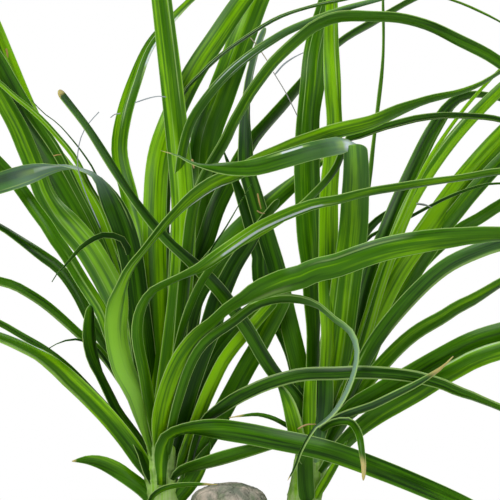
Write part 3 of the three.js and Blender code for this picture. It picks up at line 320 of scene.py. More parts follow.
RIGHT_SPREADING = [
    leaf(13, "40 0 0 0 60", "4 40 90", 60,
         "62,422 72,440 82,464 88.5,497 94.2,527 100.5,549 112,579 128,616 144,648 159,667 "
         "174,671 190,668", tones=".3 .3 .35", lines="-.7,.6,1,.8,.35"),
    leaf(3.5, "40 20 20", "2 20 30", 80,
         "63,420 75,450 95,515 108,555 121,585 138,622 163,659 188,687", tones=".7 .7"),
    leaf(10, "40 10 0", "0 30 70", 160,
         "64,420 76,450 92,492 106,540 125,591 136,611 160,644 190,675", tones=".7 .75 .7",
         lines=".7,.2,.9,.6,.6 -.5,.3,.6,.6,.4"),
    leaf(16, "40 10 0", "-2 40 110", 190,
         "64,420 74,440 85,460 100,510 118,547 137,574 163,610 190,641", tones=".7 .85 .8",
         lines=".8,.15,.7,.6,.5"),
    leaf(12, "40 10 0", "4 50 90", 170,
         "64,420 78,445 90,468 108,512 128,544 143,567 152,580 160,590 168,600 176,609 190,624",
         tones=".5 .5"),
    leaf(9.5, "40 10 0", "6 60 130", 170,
         "64,420 85,480 110,520 138,556 162,577 176,585 190,594", tones=".5 .5"),
    leaf(3, "40 30 20", "4 40 50", 60,
         "62,420 68,490 80,545 98,571 114,579 124,584 137,591 155,600 178,608 190,609",
         tones=".1 .1"),
    leaf(9, "40 10 20", "6 60 90", 0,
         "60,420 66,480 78,545 98,577 109,587 125,595 140,593", tones=".1 .1"),
    leaf(11.5, "50 20 0", "-4 -20 -40", 180,
         "66,416 72,432 80,452 101,496 125,526.5 152,551 176,562.5 190,567", tones=".45 .4 .35",
         sheens="0 0 .1", lines="-.85,.5,1.05,1.6,.6 .6,.1,.4,.6,.5"),
    leaf(10.5, "50 10 0 15 25 50", "-4 -10 -30", 170,
         "66,414 75,436 86,456 97,471 107,482 114,489.5 124,499 134,506.5 150,515.5 160,522 "
         "170,527 180,533 190,539", tones=".5 .65 .5 .4", lines="-.85,.3,1.05,.8,.5"),
    leaf(14, "50 10 0", "-6 -20 -40", 180,
         "64,410 72,430 84,449 106,463 127,475 148,487 169,498 190,505", tones=".35 .45 .5"),
    leaf(13.5, "50 10 0", "-8 -30 -50", 180,
         "62,404 71,416 82,428 93,438.5 106,448 120,456 134,464 148,473 160,479.5 169,484.5 "
         "180,489 190,492", tones=".5 .5 .55", lines=".88,.68,1.05,.6,.82"),
    leaf(7, "60 20 0", "-4 -14 -18", 0,
         "56,376 61,389 69,403 77,417 83,430", tones=".7 .6"),
    leaf(6, "30 10 0", "-10 -40 -75", 0,
         "60,430 70,441 80,446.5 90,450 100,453.3 110,458 120,463 130,468 140,474 150,481 157,488",
         tones=".2 .25 .35", sheens=".1 .1 .1", dried=36,
         lines=".85,.05,.95,.5,.75 -.85,.3,.9,.5,.75"),
    leaf(5.5, "20 0 0", "-8 -30 -60 -66", 0,
         "60,432 68,439 77,442.5 84,442.5 88.8,438 91.8,430 93.2,420 94.4,410 94,401", cut=0.4,
         tones=".15 .15 .25", dried=22, lines=".8,0,.6,.6,.5"),
]
RIGHT_BEHIND = [
    leaf(11, "0 0", "4 60 140 220 290 350 400", 120,
         "60,418 68,457 72,500 72.5,550 72.5,570 72,530 69,470 58,425"),
    leaf(12, "0 0", "4 90 200 320", 150,
         "60,418 68,490 76,530 86,580"),
    leaf(12, "0 0", "4 90 210 360", 60,
         "62,420 80,480 96,530 110,574 117,592"),
]

LEFT_SHOOT = {
    "name": "left",
    "node": "shoot_left",
    "axis": [(-8, 0, 318), (-28, 0, 338), (-42, 0, 362), (-47, 0, 392), (-48, 0, 424)],
    "leaves": LEFT_TALL + LEFT_ARCHING_RIGHT + LEFT_SPREADING,
    "behind": LEFT_BEHIND,
    "outward": math.pi,
    "seed": 11,
}
RIGHT_SHOOT = {
    "name": "right",
    "node": "shoot_right",
    "axis": [(8, 0, 308), (30, 0, 328), (46, 0, 356), (53, 0, 390), (60, 0, 428)],
    "leaves": RIGHT_TALL + RIGHT_REACHING_LEFT + RIGHT_SPREADING,
    "behind": RIGHT_BEHIND,
    "outward": 0.0,
    "seed": 29,
}
SHOOT_RADIUS = 12.5
STEM_SIDES = 40
STEM_RINGS = 90
STEM_INSET = 0.6  # the stem's mean surface lies this far inside its radius
SCAR_HEIGHT = 0.5
SCAR_PITCH = 0.8
BUD_WAVE = 0.05
BUD_TIP = 0.3
STEM_GREENS = (0.372, 0.396)  # heights in metres between which bark gives way to leaf bases
BUD_PROFILE = [(11, 4), (9.5, 12), (7, 22), (4, 31), (0.5, 36)]

# The low leaves round each shoot, by the same rule as in the part's source
SKIRT_PATH = [(0, 0), (26, 13), (70, 22), (130, 6), (190, -42), (240, -112), (268, -190)]
SKIRT_COUNT = 7
SKIRT_START = 352
SKIRT_SPREAD = math.pi * 1.12
SKIRT_WIDTH = 13
SKIRT_JITTER = 0.2  # radians round the stem, from one side to the other
SKIRT_SMALLEST, SKIRT_SIZES = 0.85, 0.35
SKIRT_LOWEST, SKIRT_ROOTS = 0.42, 0.1  # shares of the stem's length
SKIRT_SWAY = 0.5  # radians, reached at SWAY_REACH
SWAY_REACH = 200
SKIRT_TURN = 0.8  # radians of twist at the tip
DRAW_FACTOR, DRAW_STEP, DRAW_RANGE = 1664525, 1013904223, 4294967296


# Settings shown in the sidebar


def linear(red, green, blue):
    """A colour on screen, 0 to 255, as the linear values that Blender keeps."""
    values = []
    for part in (red, green, blue):
        share = part / 255
        values.append(share / 12.92 if share <= 0.04045 else ((share + 0.055) / 1.055) ** 2.4)
    return tuple(values)


def colour(name, description, red, green, blue):
    return bpy.props.FloatVectorProperty(
        name=name, description=description, subtype="COLOR", size=3, min=0.0, max=1.0,
        default=linear(red, green, blue),
    )


def metres(name, description, value):
    return bpy.props.FloatProperty(
        name=name, description=description, default=value, subtype="DISTANCE", unit="LENGTH",
    )


def power(name, description, value):
    return bpy.props.FloatProperty(name=name, description=description, default=value, min=0.0)


def tally(name, description, value, least=0):
    return bpy.props.IntProperty(name=name, description=description, default=value, min=least)


class PalmLeafSettings(bpy.types.PropertyGroup):
    """Sizes and colours of the leaves."""

    thickness: metres("Thickness", "Thickness of a blade along its middle", 0.9 * MM)
    section_step: metres("Section step", "Distance between cross-sections along a leaf", 7 * MM)
    vein_spacing: metres("Vein spacing", "Distance between the fine veins along a leaf", 1.5 * MM)
    margin: metres("Margin", "Width of the pale edge", 0.6 * MM)
    dark: colour("Dark", "Leaf green in its darkest parts", 24, 60, 0)
    middle: colour("Middle", "Leaf green between light and dark", 62, 114, 0)
    bright: colour("Bright", "Leaf green in its brightest parts", 132, 190, 0)
    # The bluish bloom colour, which is also mixed in as the painted sheen where a leaf reflects
    # the light
    bloom_and_sheen: colour("Wax", "Bluish bloom on the smooth faces", 150, 178, 165)
    edge: colour("Edge", "Pale green of the margins", 172, 206, 120)
    # A painted highlight: the colour of the strongest pale lines, where a fold or rim catches the
    # light
    painted_highlight: colour("Silver", "Lines where a fold or rim catches the light", 230, 242, 244)
    dry: colour("Dry", "Dried tips", 192, 178, 114)
    fibre: colour("Fibre", "Dry fibres that hang between the leaves", 148, 158, 162)
    flake: colour("Flake", "Tan flakes among the fibres", 178, 150, 84)


class PalmPotSettings(bpy.types.PropertyGroup):
    """Sizes and colours of the clay pot."""

    segments: tally("Segments", "Faces round the pot", 144, 24)
    clay: colour("Clay", "Fired clay", 178, 98, 60)
    pale: colour("Bloom", "Pale salts drawn out of the clay", 214, 176, 146)
    dark: colour("Damp", "Clay darkened by damp", 126, 62, 38)


class PalmSoilSettings(bpy.types.PropertyGroup):
    """Sizes and colours of the soil."""

    crumb: metres("Crumb", "Radius of the largest crumbs", 2.6 * MM)
    crumb_count: tally("Crumbs", "Crumbs for each square decimetre of soil", 520)
    grit_count: tally("Grit", "Pale grains for each square decimetre of soil", 34)
    dark: colour("Dark", "Damp soil", 38, 26, 18)
    light: colour("Light", "Dry crumbs and fibre", 96, 70, 48)
    grit: colour("Grit colour", "Pale mineral grains", 205, 198, 184)


class PalmBarkSettings(bpy.types.PropertyGroup):
    """Sizes and colours of the trunk's bark."""

    relief: metres("Relief", "Depth of the bark's cracks and lumps", 1.3 * MM)
    grey: colour("Grey", "Weathered bark", 122, 128, 112)
    beige: colour("Beige", "Pinkish patches of corky bark", 206, 192, 176)
    green: colour("Green", "Green film on the cut top", 112, 132, 96)
    dark: colour("Dark", "Cracks and pits", 44, 38, 34)


class PalmStudioSettings(bpy.types.PropertyGroup):
    """The floor and the light."""

    floor_radius: metres("Floor radius", "Radius of the round floor", 8.0)
    floor: colour("Floor", "Pale floor", 236, 236, 234)
    key: power("Key light", "Strength of the light at the upper left", 2.35)
    fill: power("Fill light", "Strength of the light at the right", 0.7)
    rim: power("Rim light", "Strength of the light from above and behind", 0.9)
    ambient: power("Ambient", "Strength of the light from all round", 0.1)


# Routes and blades


class Route:
    """A smooth curve through points, centripetal Catmull-Rom, read at shares of its length."""

    STEPS = 24

    def __init__(self, points):
        points = np.array(points, float)
        ends = np.vstack([2 * points[0] - points[1], points, 2 * points[-1] - points[-2]])
        places = []
        for i in range(len(points) - 1):
            places.append(self.stretch(*ends[i:i + 4]))
        places.append(points[-1:])
        self.places = np.vstack(places)
        steps = np.linalg.norm(np.diff(self.places, axis=0), axis=1)
        self.lengths = np.concatenate([[0.0], np.cumsum(steps)])
        self.length = self.lengths[-1]

    def stretch(self, before, start, end, after):
        gaps = [max(math.sqrt(np.linalg.norm(b - a)), 1e-4)
                for a, b in ((before, start), (start, end), (end, after))]
        leave = (start - before) / gaps[0] - (end - before) / (gaps[0] + gaps[1])
        leave = (leave + (end - start) / gaps[1]) * gaps[1]
        arrive = (end - start) / gaps[1] - (after - start) / (gaps[1] + gaps[2])
        arrive = (arrive + (after - end) / gaps[2]) * gaps[1]
        t = (np.arange(self.STEPS) / self.STEPS)[:, None]
        bend = 3 * (end - start) - 2 * leave - arrive
        return start + leave * t + bend * t ** 2 + (leave + arrive - 2 * (end - start)) * t ** 3

    def at(self, shares):
        reach = np.asarray(shares) * self.length
        return np.stack([np.interp(reach, self.lengths, self.places[:, k]) for k in range(3)], 1)

    def heading(self, shares):
        shares = np.asarray(shares)
        step = HEADING_STEP / self.length
        heading = self.at(np.minimum(shares + step, 1)) - self.at(np.maximum(shares - step, 0))
        return heading / np.linalg.norm(heading, axis=1, keepdims=True)


def eased(values, shares):
    """Values spread evenly along a length, read with a smooth step between each two."""
    at = np.clip(shares, 0, 1) * (len(values) - 1)
    start = np.minimum(at.astype(int), len(values) - 2)
    share = at - start
    values = np.asarray(values, float)
    return values[start] + (values[start + 1] - values[start]) * share ** 2 * (3 - 2 * share)


def smooth_step(low, high, value):
    share = np.clip((value - low) / (high - low), 0, 1)
    return share ** 2 * (3 - 2 * share)


def route_points(entry):
    """The leaf's points in space: each is where the front view shows it, at its own depth."""
    route = np.array(entry["route"], float)
    lengths = np.concatenate([[0.0], np.cumsum(np.linalg.norm(np.diff(route, axis=0), axis=1))])
    depths = eased(entry["depths"], lengths / lengths[-1])
    distance, across, up = VIEW_DISTANCE / MM, VIEW_ACROSS / MM, VIEW_HEIGHT / MM
    points = []
    for (x, z), depth in zip(route, depths):
        spread = (distance + depth) / distance
        points.append(Vector((across + (x - across) * spread, depth, up + (z - up) * spread)))
    if entry["free_end"]:
        heading = (points[-1] - points[-2]).normalized()
        steps = max(1, int(entry["free_end"] / FREE_STEP + 0.5))
        for i in range(steps):
            heading.z -= DROOP * (1 + i * DROOP_GROWTH)
            heading.normalize()
            points.append(points[-1] + heading * entry["free_end"] / steps)
    return [tuple(point) for point in points]


class Blades:
    """Collects leaf blades and makes one mesh of them, with the values that the material reads."""

    def __init__(self, settings, seed):
        self.settings = settings
        self.draw = random.Random(seed)
        self.places = []
        self.faces = []
        self.blade_uv = []
        self.values = {
            "edge_mm": [], "tone": [], "sheen": [], "dry": [], "blade_id": [],
            "line_1": [], "line_1_on": [], "line_2": [], "line_2_on": [],
        }
        self.sharp = []

    def add(self, points, width, turns, facing, traced=1.0, cut=0.0, tones=(), sheens=(0, 0),
            dried=DRIED_TIP, lines=()):
        """Adds a blade along points. Facing None turns its face up, as on the leaves behind."""
        curve = Route(points)
        step = self.settings.section_step / MM
        sections = int(np.clip(round(curve.length / step), FEWEST_SECTIONS, MOST_SECTIONS))
        shares = np.linspace(0, 1, sections + 1)
        if cut:
            shares = np.append(shares[:-1], 1 - CUT_STEPS / curve.length)
            shares = np.unique(np.clip(shares, 0, 1))
            sections = len(shares) - 1
        centre = curve.at(shares)
        tangent = curve.heading(shares)
        turn = np.radians(eased(turns, shares / traced))[:, None]
        if facing is None:
            flat = np.array([1.0, 0.0, 0.0]) - tangent * tangent[:, :1]
        else:
            flat = np.cross(np.broadcast_to(facing, tangent.shape), tangent)
        flat /= np.linalg.norm(flat, axis=1, keepdims=True)
        edgewise = np.cross(tangent, flat)
        side = flat * np.cos(turn) + edgewise * np.sin(turn)
        normal = np.cross(side, tangent)
        root = ROOT_WIDTH + (1 - ROOT_WIDTH) * smooth_step(0, ROOT_LENGTH, shares)
        taper = cut + (1 - cut) * (1 - shares ** TAPER_POWER) ** TAPER_FALL
        if cut:
            near_end = np.clip(1 - (1 - shares) * curve.length / CUT_ROUNDING, 0, 1)
            taper = taper * np.sqrt(1 - CUT_FLATNESS * near_end ** 2)
        half = np.maximum(width * root * taper, TIP_WIDTH) / 2
        sink = BLADE_CHANNEL * 2 * half
        left, right = self.ripple(shares * curve.length)
        thick = self.settings.thickness / MM / 2
        ring = [(a, 1) for a in ACROSS] + [(a, -1) for a in reversed(ACROSS)]
        base = sum(len(places) for places in self.places)
        rows = []
        for a, face in ring:
            thin = thick * (1 - EDGE_THINNING * a * a) * np.minimum(1, half / 2)
            rise = sink * (abs(a) ** 1.5 - 0.5) + left * max(a, 0) ** 2 + right * max(-a, 0) ** 2
            lift = normal * (rise + face * thin)[:, None]
            rows.append(centre + side * (a * half)[:, None] + lift)
        grid = np.stack(rows, 1)
        self.places.append(grid.reshape(-1, 3))
        size = len(ring)
        for i in range(sections):
            for k in range(size):
                a, b = base + i * size + k, base + i * size + (k + 1) % size
                self.faces.append((a, a + size, b + size, b))
        self.faces.append(tuple(base + k for k in range(size)))
        self.faces.append(tuple(base + sections * size + k for k in reversed(range(size))))
        offsets = np.array([a for a, _ in ring])
        across = offsets[None, :] * half[:, None]
        along = np.repeat((shares * curve.length)[:, None], size, 1)
        self.blade_uv.append(np.stack([across, along], 2).reshape(-1, 2))
        blade_id = self.draw.random()
        if not tones:
            middle = 0.25 + 0.5 * self.draw.random()
            tones = (middle, middle + 0.3 * (self.draw.random() - 0.5))
        tone = eased(tones, shares / traced)
        dry = smooth_step(curve.length - 1.5 * dried - 1, curve.length, shares * curve.length)
        dry = dry * (dried > 0)
        spread = {
            "edge_mm": np.maximum(half, NARROW / 2)[:, None] * (1 - np.abs(offsets))[None, :],
            "tone": np.repeat(tone[:, None], size, 1),
            "sheen": np.repeat(eased(sheens, shares / traced)[:, None], size, 1),
            "dry": np.repeat(dry[:, None], size, 1),
            "blade_id": np.full((sections + 1, size), blade_id),
        }
        for name, line in zip(("line_1", "line_2"), (*lines, NO_LINE, NO_LINE)):
            offset, start, end, line_width, clearness = line
            reach = shares / traced
            on = smooth_step(start - LINE_FADE, start + LINE_FADE, reach)
            on = on * (1 - smooth_step(end - LINE_FADE, end + LINE_FADE, reach)) * clearness
            spread[name] = (offsets[None, :] - offset) * half[:, None] / line_width
            spread[name + "_on"] = np.repeat(on[:, None], size, 1)
        for key, value in spread.items():
            self.values[key].append(value.reshape(-1))
        last = len(ACROSS) - 1
        for i in range(sections):
            for k in (0, last, last + 1, size - 1):
                self.sharp.append((base + i * size + k, base + (i + 1) * size + k))

    def ripple(self, reach):
        """A slight wave of each edge, in millimetres, along the leaf."""
        waves = []
        for _ in range(2):
            start = RIPPLE_WAVE * self.draw.random()
            wave = RIPPLE_LENGTH + RIPPLE_SPREAD * self.draw.random()
            waves.append(RIPPLE_HEIGHT * np.sin(reach * RIPPLE_WAVE / wave + start))
        return waves

    def finish(self, name, material):
        mesh = bpy.data.meshes.new(name)
        places = np.vstack(self.places) * MM
        mesh.from_pydata(places.tolist(), [], self.faces)
        corners = np.empty(len(mesh.loops), int)
        mesh.loops.foreach_get("vertex_index", corners)
        uv = np.vstack(self.blade_uv)[corners].reshape(-1).astype(np.float32)
        mesh.uv_layers.new(name="blade_mm").data.foreach_set("uv", uv)
        for key, value in self.values.items():
            attribute = mesh.attributes.new(key, "FLOAT", "POINT")
            attribute.data.foreach_set("value", np.concatenate(value).astype(np.float32))
        sharp = {tuple(sorted(pair)) for pair in self.sharp}
        mesh.shade_smooth()
        for edge in mesh.edges:
            if tuple(sorted(edge.vertices)) in sharp:
                edge.use_edge_sharp = True
        mesh.materials.append(material)
        mesh.validate()
        return placed(name, mesh)


def placed(name, mesh):
    piece = bpy.data.objects.new(name, mesh)
    bpy.context.scene.collection.objects.link(piece)
    return piece


# Materials


class Graph:
    """Short ways to add and join the nodes of one material."""

    def __init__(self, name):
        self.material = bpy.data.materials.new(name)
        self.material.use_nodes = True
        self.tree = self.material.node_tree
        self.tree.nodes.clear()
        self.shader = self.tree.nodes.new("ShaderNodeBsdfPrincipled")
        output = self.tree.nodes.new("ShaderNodeOutputMaterial")
        self.tree.links.new(self.shader.outputs["BSDF"], output.inputs["Surface"])

    def feed(self, socket, value):
        if isinstance(value, bpy.types.NodeSocket):
            self.tree.links.new(value, socket)
        elif socket.type == "RGBA" and len(value) == 3:
            socket.default_value = (*value, 1.0)
        else:
            socket.default_value = value

    def surface(self, **sockets):
        for name, value in sockets.items():
            self.feed(self.shader.inputs[name.replace("_", " ")], value)

    def node(self, kind, **inputs):
        made = self.tree.nodes.new(kind)
        for name, value in inputs.items():
            self.feed(made.inputs[name], value)
        return made

    def value(self, name):
        reader = self.node("ShaderNodeAttribute")
        reader.attribute_name = name
        return reader.outputs["Fac"]

    def place(self):
        return self.node("ShaderNodeTexCoord").outputs["Object"]

    def uv(self, name):
        reader = self.node("ShaderNodeUVMap")
        reader.uv_map = name
        return reader.outputs["UV"]

    def scaled(self, vector, scale, shift=None):
        mapping = self.node("ShaderNodeMapping", Vector=vector, Scale=scale)
        if shift is not None:
            joined = self.node("ShaderNodeCombineXYZ", X=shift, Z=shift)
            self.feed(mapping.inputs["Location"], joined.outputs["Vector"])
        return mapping.outputs["Vector"]

    def noise(self, vector, scale, detail=3.0, roughness=0.5, distortion=0.0):
        texture = self.node(
            "ShaderNodeTexNoise", Vector=vector, Scale=scale, Detail=detail, Roughness=roughness,
            Distortion=distortion,
        )
        return texture.outputs["Fac"]

    def cells(self, vector, scale, feature="F1"):
        texture = self.node("ShaderNodeTexVoronoi", Vector=vector, Scale=scale)
        texture.feature = feature
        return texture.outputs["Distance"]

    def math(self, operation, first, second=0.0, clamp=False):
        sums = self.node("ShaderNodeMath")
        sums.operation = operation
        sums.use_clamp = clamp
        self.feed(sums.inputs[0], first)
        self.feed(sums.inputs[1], second)
        return sums.outputs[0]

    def add(self, first, second, clamp=False):
        return self.math("ADD", first, second, clamp)

    def times(self, first, second):
        return self.math("MULTIPLY", first, second)

    def span(self, value, low, high, new_low=0.0, new_high=1.0):
        """The value, from low to high made new_low to new_high with a smooth step."""
        mapped = self.node("ShaderNodeMapRange")
        mapped.interpolation_type = "SMOOTHSTEP"
        for socket, number in zip(mapped.inputs[:5], (value, low, high, new_low, new_high)):
            self.feed(socket, number)
        return mapped.outputs["Result"]

    def mix(self, share, first, second):
        blend = self.node("ShaderNodeMix")
        blend.data_type = "RGBA"
        sockets = {socket.identifier: socket for socket in blend.inputs}
        self.feed(sockets["Factor_Float"], share)
        self.feed(sockets["A_Color"], first)
        self.feed(sockets["B_Color"], second)
        return next(s for s in blend.outputs if s.identifier == "Result_Color")

    def bump(self, height, distance, strength):
        node = self.node("ShaderNodeBump", Height=height, Distance=distance, Strength=strength)
        return node.outputs["Normal"]


def leaf_material(settings):
    graph = Graph("leaf_green")
    blade = graph.uv("blade_mm")
    shift = graph.times(graph.value("blade_id"), 97.0)
    spacing = settings.vein_spacing / MM
    veins = graph.noise(graph.scaled(blade, (1 / spacing, 0.012, 1), shift), 1.0, 2.0, 0.55)
    streaks = graph.noise(graph.scaled(blade, (0.22, 0.006, 1), shift), 1.0, 3.0, 0.5)
    patches = graph.noise(graph.scaled(blade, (0.05, 0.02, 1), shift), 1.0, 3.0, 0.55)
    # The tone, the leaf's own green together with painted light and shade, is varied by the veins,
    # streaks and patches and picks a green from dark to bright
    tone = graph.add(graph.value("tone"), graph.span(veins, 0.3, 0.7, -0.15, 0.15))
    tone = graph.add(tone, graph.span(streaks, 0.28, 0.72, -0.24, 0.24))
    tone = graph.add(tone, graph.span(patches, 0.25, 0.75, -0.09, 0.09), clamp=True)
    green = graph.mix(graph.span(tone, 0.0, 0.5), settings.dark, settings.middle)
    green = graph.mix(graph.span(tone, 0.5, 1.0), green, settings.bright)
    # Painted sheen: where a leaf reflects the light, and where it has a waxy bloom, its green is
    # mixed towards the bluish bloom colour, streaked along its length
    bloom_and_sheen = graph.times(graph.value("sheen"), graph.span(streaks, 0.2, 0.8, 0.75, 1.0))
    green = graph.mix(graph.times(bloom_and_sheen, 0.75), green, settings.bloom_and_sheen)
    edge = graph.span(graph.value("edge_mm"), 0.0, settings.margin / MM, 1.0, 0.0)
    green = graph.mix(graph.times(edge, 0.8), green, settings.edge)
    for name in ("line_1", "line_2"):
        away = graph.math("ABSOLUTE", graph.value(name))
        on = graph.value(name + "_on")
        line = graph.times(graph.span(away, 0.3, 1.0, 1.0, 0.0), on)
        line = graph.times(line, graph.span(veins, 0.2, 0.7, 0.65, 1.0))
        # The strongest lines turn from the pale margin colour to a painted highlight
        pale = graph.mix(graph.span(on, 0.75, 0.95), settings.edge, settings.painted_highlight)
        green = graph.mix(line, green, pale)
    dryness = graph.add(graph.value("dry"), graph.span(streaks, 0.2, 0.8, -0.25, 0.25))
    green = graph.mix(graph.span(dryness, 0.45, 0.8), green, settings.dry)
    roughness = graph.span(patches, 0.3, 0.7, 0.30, 0.42)
    ribs = graph.bump(veins, 0.00012, 0.5)
    graph.surface(
        Base_Color=green, Roughness=roughness, Normal=ribs, IOR=1.42, Subsurface_Weight=0.22,
        Subsurface_Scale=0.002, Subsurface_Radius=(0.5, 1.0, 0.05), Specular_IOR_Level=0.22,
    )
    return graph.material


def clay_material(settings):
    graph = Graph("fired_clay")
    place = graph.place()
    mottle = graph.noise(place, 22.0, 6.0, 0.6)
    fine = graph.noise(place, 420.0, 4.0, 0.6)
    rings = graph.noise(graph.scaled(place, (1.5, 1.5, 240.0)), 1.0, 3.0, 0.6)
    salts = graph.noise(graph.scaled(place, (9, 9, 5)), 1.0, 5.0, 0.65)
    clay = graph.mix(graph.span(mottle, 0.32, 0.68), settings.dark, settings.clay)
    clay = graph.mix(graph.span(mottle, 0.2, 0.5, 0.35, 0.0), clay, settings.dark)
    clay = graph.mix(0.55, clay, settings.clay)
    bloom = graph.times(graph.span(salts, 0.56, 0.74), 0.45)
    clay = graph.mix(bloom, clay, settings.pale)
    clay = graph.mix(graph.span(fine, 0.62, 0.76, 0.0, 0.35), clay, settings.pale)
    height = graph.add(graph.times(rings, 0.6), graph.times(fine, 0.5))
    graph.surface(
        Base_Color=clay, Roughness=graph.span(fine, 0.3, 0.7, 0.78, 0.92),
        Normal=graph.bump(height, 0.0004, 0.6), Specular_IOR_Level=0.3,
    )
    return graph.material


def soil_material(name, dark, light, mottle_scale):
    graph = Graph(name)
    place = graph.place()
    grain = graph.noise(place, mottle_scale, 5.0, 0.65)
    fine = graph.noise(place, 900.0, 3.0, 0.6)
    share = graph.add(graph.span(grain, 0.45, 0.75), graph.span(fine, 0.6, 0.8, 0.0, 0.3))
    graph.surface(
        Base_Color=graph.mix(share, dark, light), Roughness=0.94, Specular_IOR_Level=0.2,
        Normal=graph.bump(graph.add(grain, fine), 0.0012, 0.8),
    )
    return graph.material


def bark_material(settings):
    graph = Graph("grey_bark")
    place = graph.place()
    patches = graph.noise(graph.scaled(place, (55, 55, 34)), 1.0, 5.0, 0.62, 0.4)
    film = graph.noise(place, 90.0, 4.0, 0.6)
    fine = graph.noise(place, 640.0, 5.0, 0.65)
    cracks = graph.cells(graph.scaled(place, (85, 85, 42)), 1.0, "DISTANCE_TO_EDGE")
    pits = graph.cells(place, 210.0)
    bark = graph.mix(graph.span(patches, 0.35, 0.65), settings.grey, settings.beige)
    bark = graph.mix(graph.span(film, 0.48, 0.66, 0.0, 0.6), bark, settings.green)
    bark = graph.mix(graph.span(fine, 0.56, 0.75, 0.0, 0.55), bark, settings.dark)
    bark = graph.mix(graph.span(cracks, 0.0, 0.03, 0.4, 0.0), bark, settings.dark)
    bark = graph.mix(graph.span(pits, 0.05, 0.16, 0.8, 0.0), bark, settings.dark)
    height = graph.add(graph.span(cracks, 0.0, 0.12), graph.times(fine, 0.8))
    height = graph.add(height, graph.span(pits, 0.05, 0.3, -0.6, 0.0))
    graph.surface(
        Base_Color=bark, Roughness=0.86, Normal=graph.bump(height, 0.0012, 0.9),
        Specular_IOR_Level=0.25,
    )
    return graph.material


# Round pieces


def ring_mesh(name, build, rings):
    """A closed mesh of rings, each joined to the next. Both ends are poles, or both are capped."""
    for low, high in zip(rings, rings[1:]):
        for i in range(max(len(low), len(high))):
            corners = [low[i % len(low)], low[(i + 1) % len(low)]]
            corners += [high[(i + 1) % len(high)], high[i % len(high)]]
            build.faces.new(list(dict.fromkeys(corners)))
    if len(rings[0]) > 1:
        build.faces.new(rings[0])
        build.faces.new(rings[-1])
    bmesh.ops.recalc_face_normals(build, faces=build.faces)
    mesh = bpy.data.meshes.new(name)
    build.to_mesh(mesh)
    build.free()
    mesh.shade_smooth()
    return mesh


def lathe(name, profile, sides, shape=lambda angle, radius, up: (radius, up)):
    """A closed round shape. The profile runs from the axis to the axis, [radius, height]."""
    build = bmesh.new()
    rings = []
    for radius, up in profile:
        if radius <= 0:
            rings.append([build.verts.new((0.0, 0.0, up))])
            continue
        ring = []
        for i in range(sides):
            angle = 2 * math.pi * i / sides
            r, z = shape(angle, radius, up)
            ring.append(build.verts.new((r * math.cos(angle), r * math.sin(angle), z)))
        rings.append(ring)
    return ring_mesh(name, build, rings)


def rounded(points, radius, steps=5):
    """A profile with each inner corner rounded off."""
    out = [points[0]]
    for before, corner, after in zip(points, points[1:], points[2:]):
        corner = Vector(corner)
        back, ahead = Vector(before) - corner, Vector(after) - corner
        cut = min(radius, back.length * 0.45, ahead.length * 0.45)
        start, end = corner + back.normalized() * cut, corner + ahead.normalized() * cut
        for i in range(steps + 1):
            t = i / steps
            out.append(tuple((1 - t) ** 2 * start + 2 * t * (1 - t) * corner + t ** 2 * end))
    out.append(points[-1])
    return out


def dense(profile, step):
    """The profile with points no further apart than a step."""
    out = [profile[0]]
    for start, end in zip(profile, profile[1:]):
        count = max(1, math.ceil(math.dist(start, end) / step))
        for i in range(1, count + 1):
            t = i / count
            out.append((start[0] + (end[0] - start[0]) * t, start[1] + (end[1] - start[1]) * t))
    return out


RIM_BAND = 36 * MM
RIM_OVERHANG = 12 * MM
POT_WALL = 6 * MM
POT_FLOOR = 10 * MM
POT_CORNER = 8 * MM
POT_FOOT_RADIUS = 82 * MM
DRAIN_RADIUS = 6 * MM
DRAIN_CIRCLE = 42 * MM
DRAIN_COUNT = 5
DRAIN_SIDES = 32
BAND_SLOPE = 1 * MM  # how far the band's lower face and the rim's top slope
RIM_WIDTH = 11 * MM
POT_ROUNDING = 3.5 * MM
POT_STEP = 12 * MM
BAND_BOTTOM = POT_HEIGHT - RIM_BAND
UNDER_RIM_RADIUS = POT_RIM_RADIUS - RIM_OVERHANG
INSIDE_FOOT_RADIUS = POT_FOOT_RADIUS - POT_WALL

SOIL_TOP = 180 * MM
SOIL_SHOULDER = 4 * MM  # the soil's top is rounded over this height
SOIL_RELIEF_DEPTH = 5 * MM  # crumbs and clods lift only what is nearer the top than this
SOIL_GAP = 0.6 * MM  # between the soil and the wall
SOIL_FLOOR_GAP = 0.4 * MM
HOLE_RADIUS, HOLE_DEPTH, HOLE_SLOPE = 66 * MM, 8 * MM, 2 * MM  # where the trunk stands
SOIL_SIDES = 300
SOIL_STEP = 1.6 * MM
CRUMB_SCALE, CRUMB_HEIGHT = 0.16, 1.6
CLOD_SCALE, CLOD_HEIGHT = 0.05, 1.4

# The trunk, in millimetres
TRUNK_SIDES = 168
TRUNK_RINGS = 230
SWELL = 0.018  # share of the radius
SWELL_STARTS, SWELL_EASES = (184, 196), (376, 396)  # heights
SWELL_AT_TOP = 0.35  # share of the swell that is left above
CUT_STARTS = (388, 397)  # heights between which the bark gives way to the cut
CRACK_ACROSS, CRACK_UP, CRACK_WIDTH = 0.16, 0.05, 0.12
LUMP_SCALE, GRAIN_SCALE = 0.09, 0.55


def pot_mesh(settings):
    profile = [
        (0, 0), (POT_FOOT_RADIUS, 0), (UNDER_RIM_RADIUS, BAND_BOTTOM),
        (POT_RIM_RADIUS, BAND_BOTTOM + BAND_SLOPE), (POT_RIM_RADIUS, POT_HEIGHT),
        (POT_RIM_RADIUS - RIM_WIDTH, POT_HEIGHT - BAND_SLOPE),
        (UNDER_RIM_RADIUS - POT_WALL, BAND_BOTTOM), (INSIDE_FOOT_RADIUS, POT_FLOOR + POT_CORNER),
        (INSIDE_FOOT_RADIUS - POT_CORNER, POT_FLOOR), (0, POT_FLOOR),
    ]
    return lathe("pot_clay", dense(rounded(profile, POT_ROUNDING), POT_STEP), settings.segments)


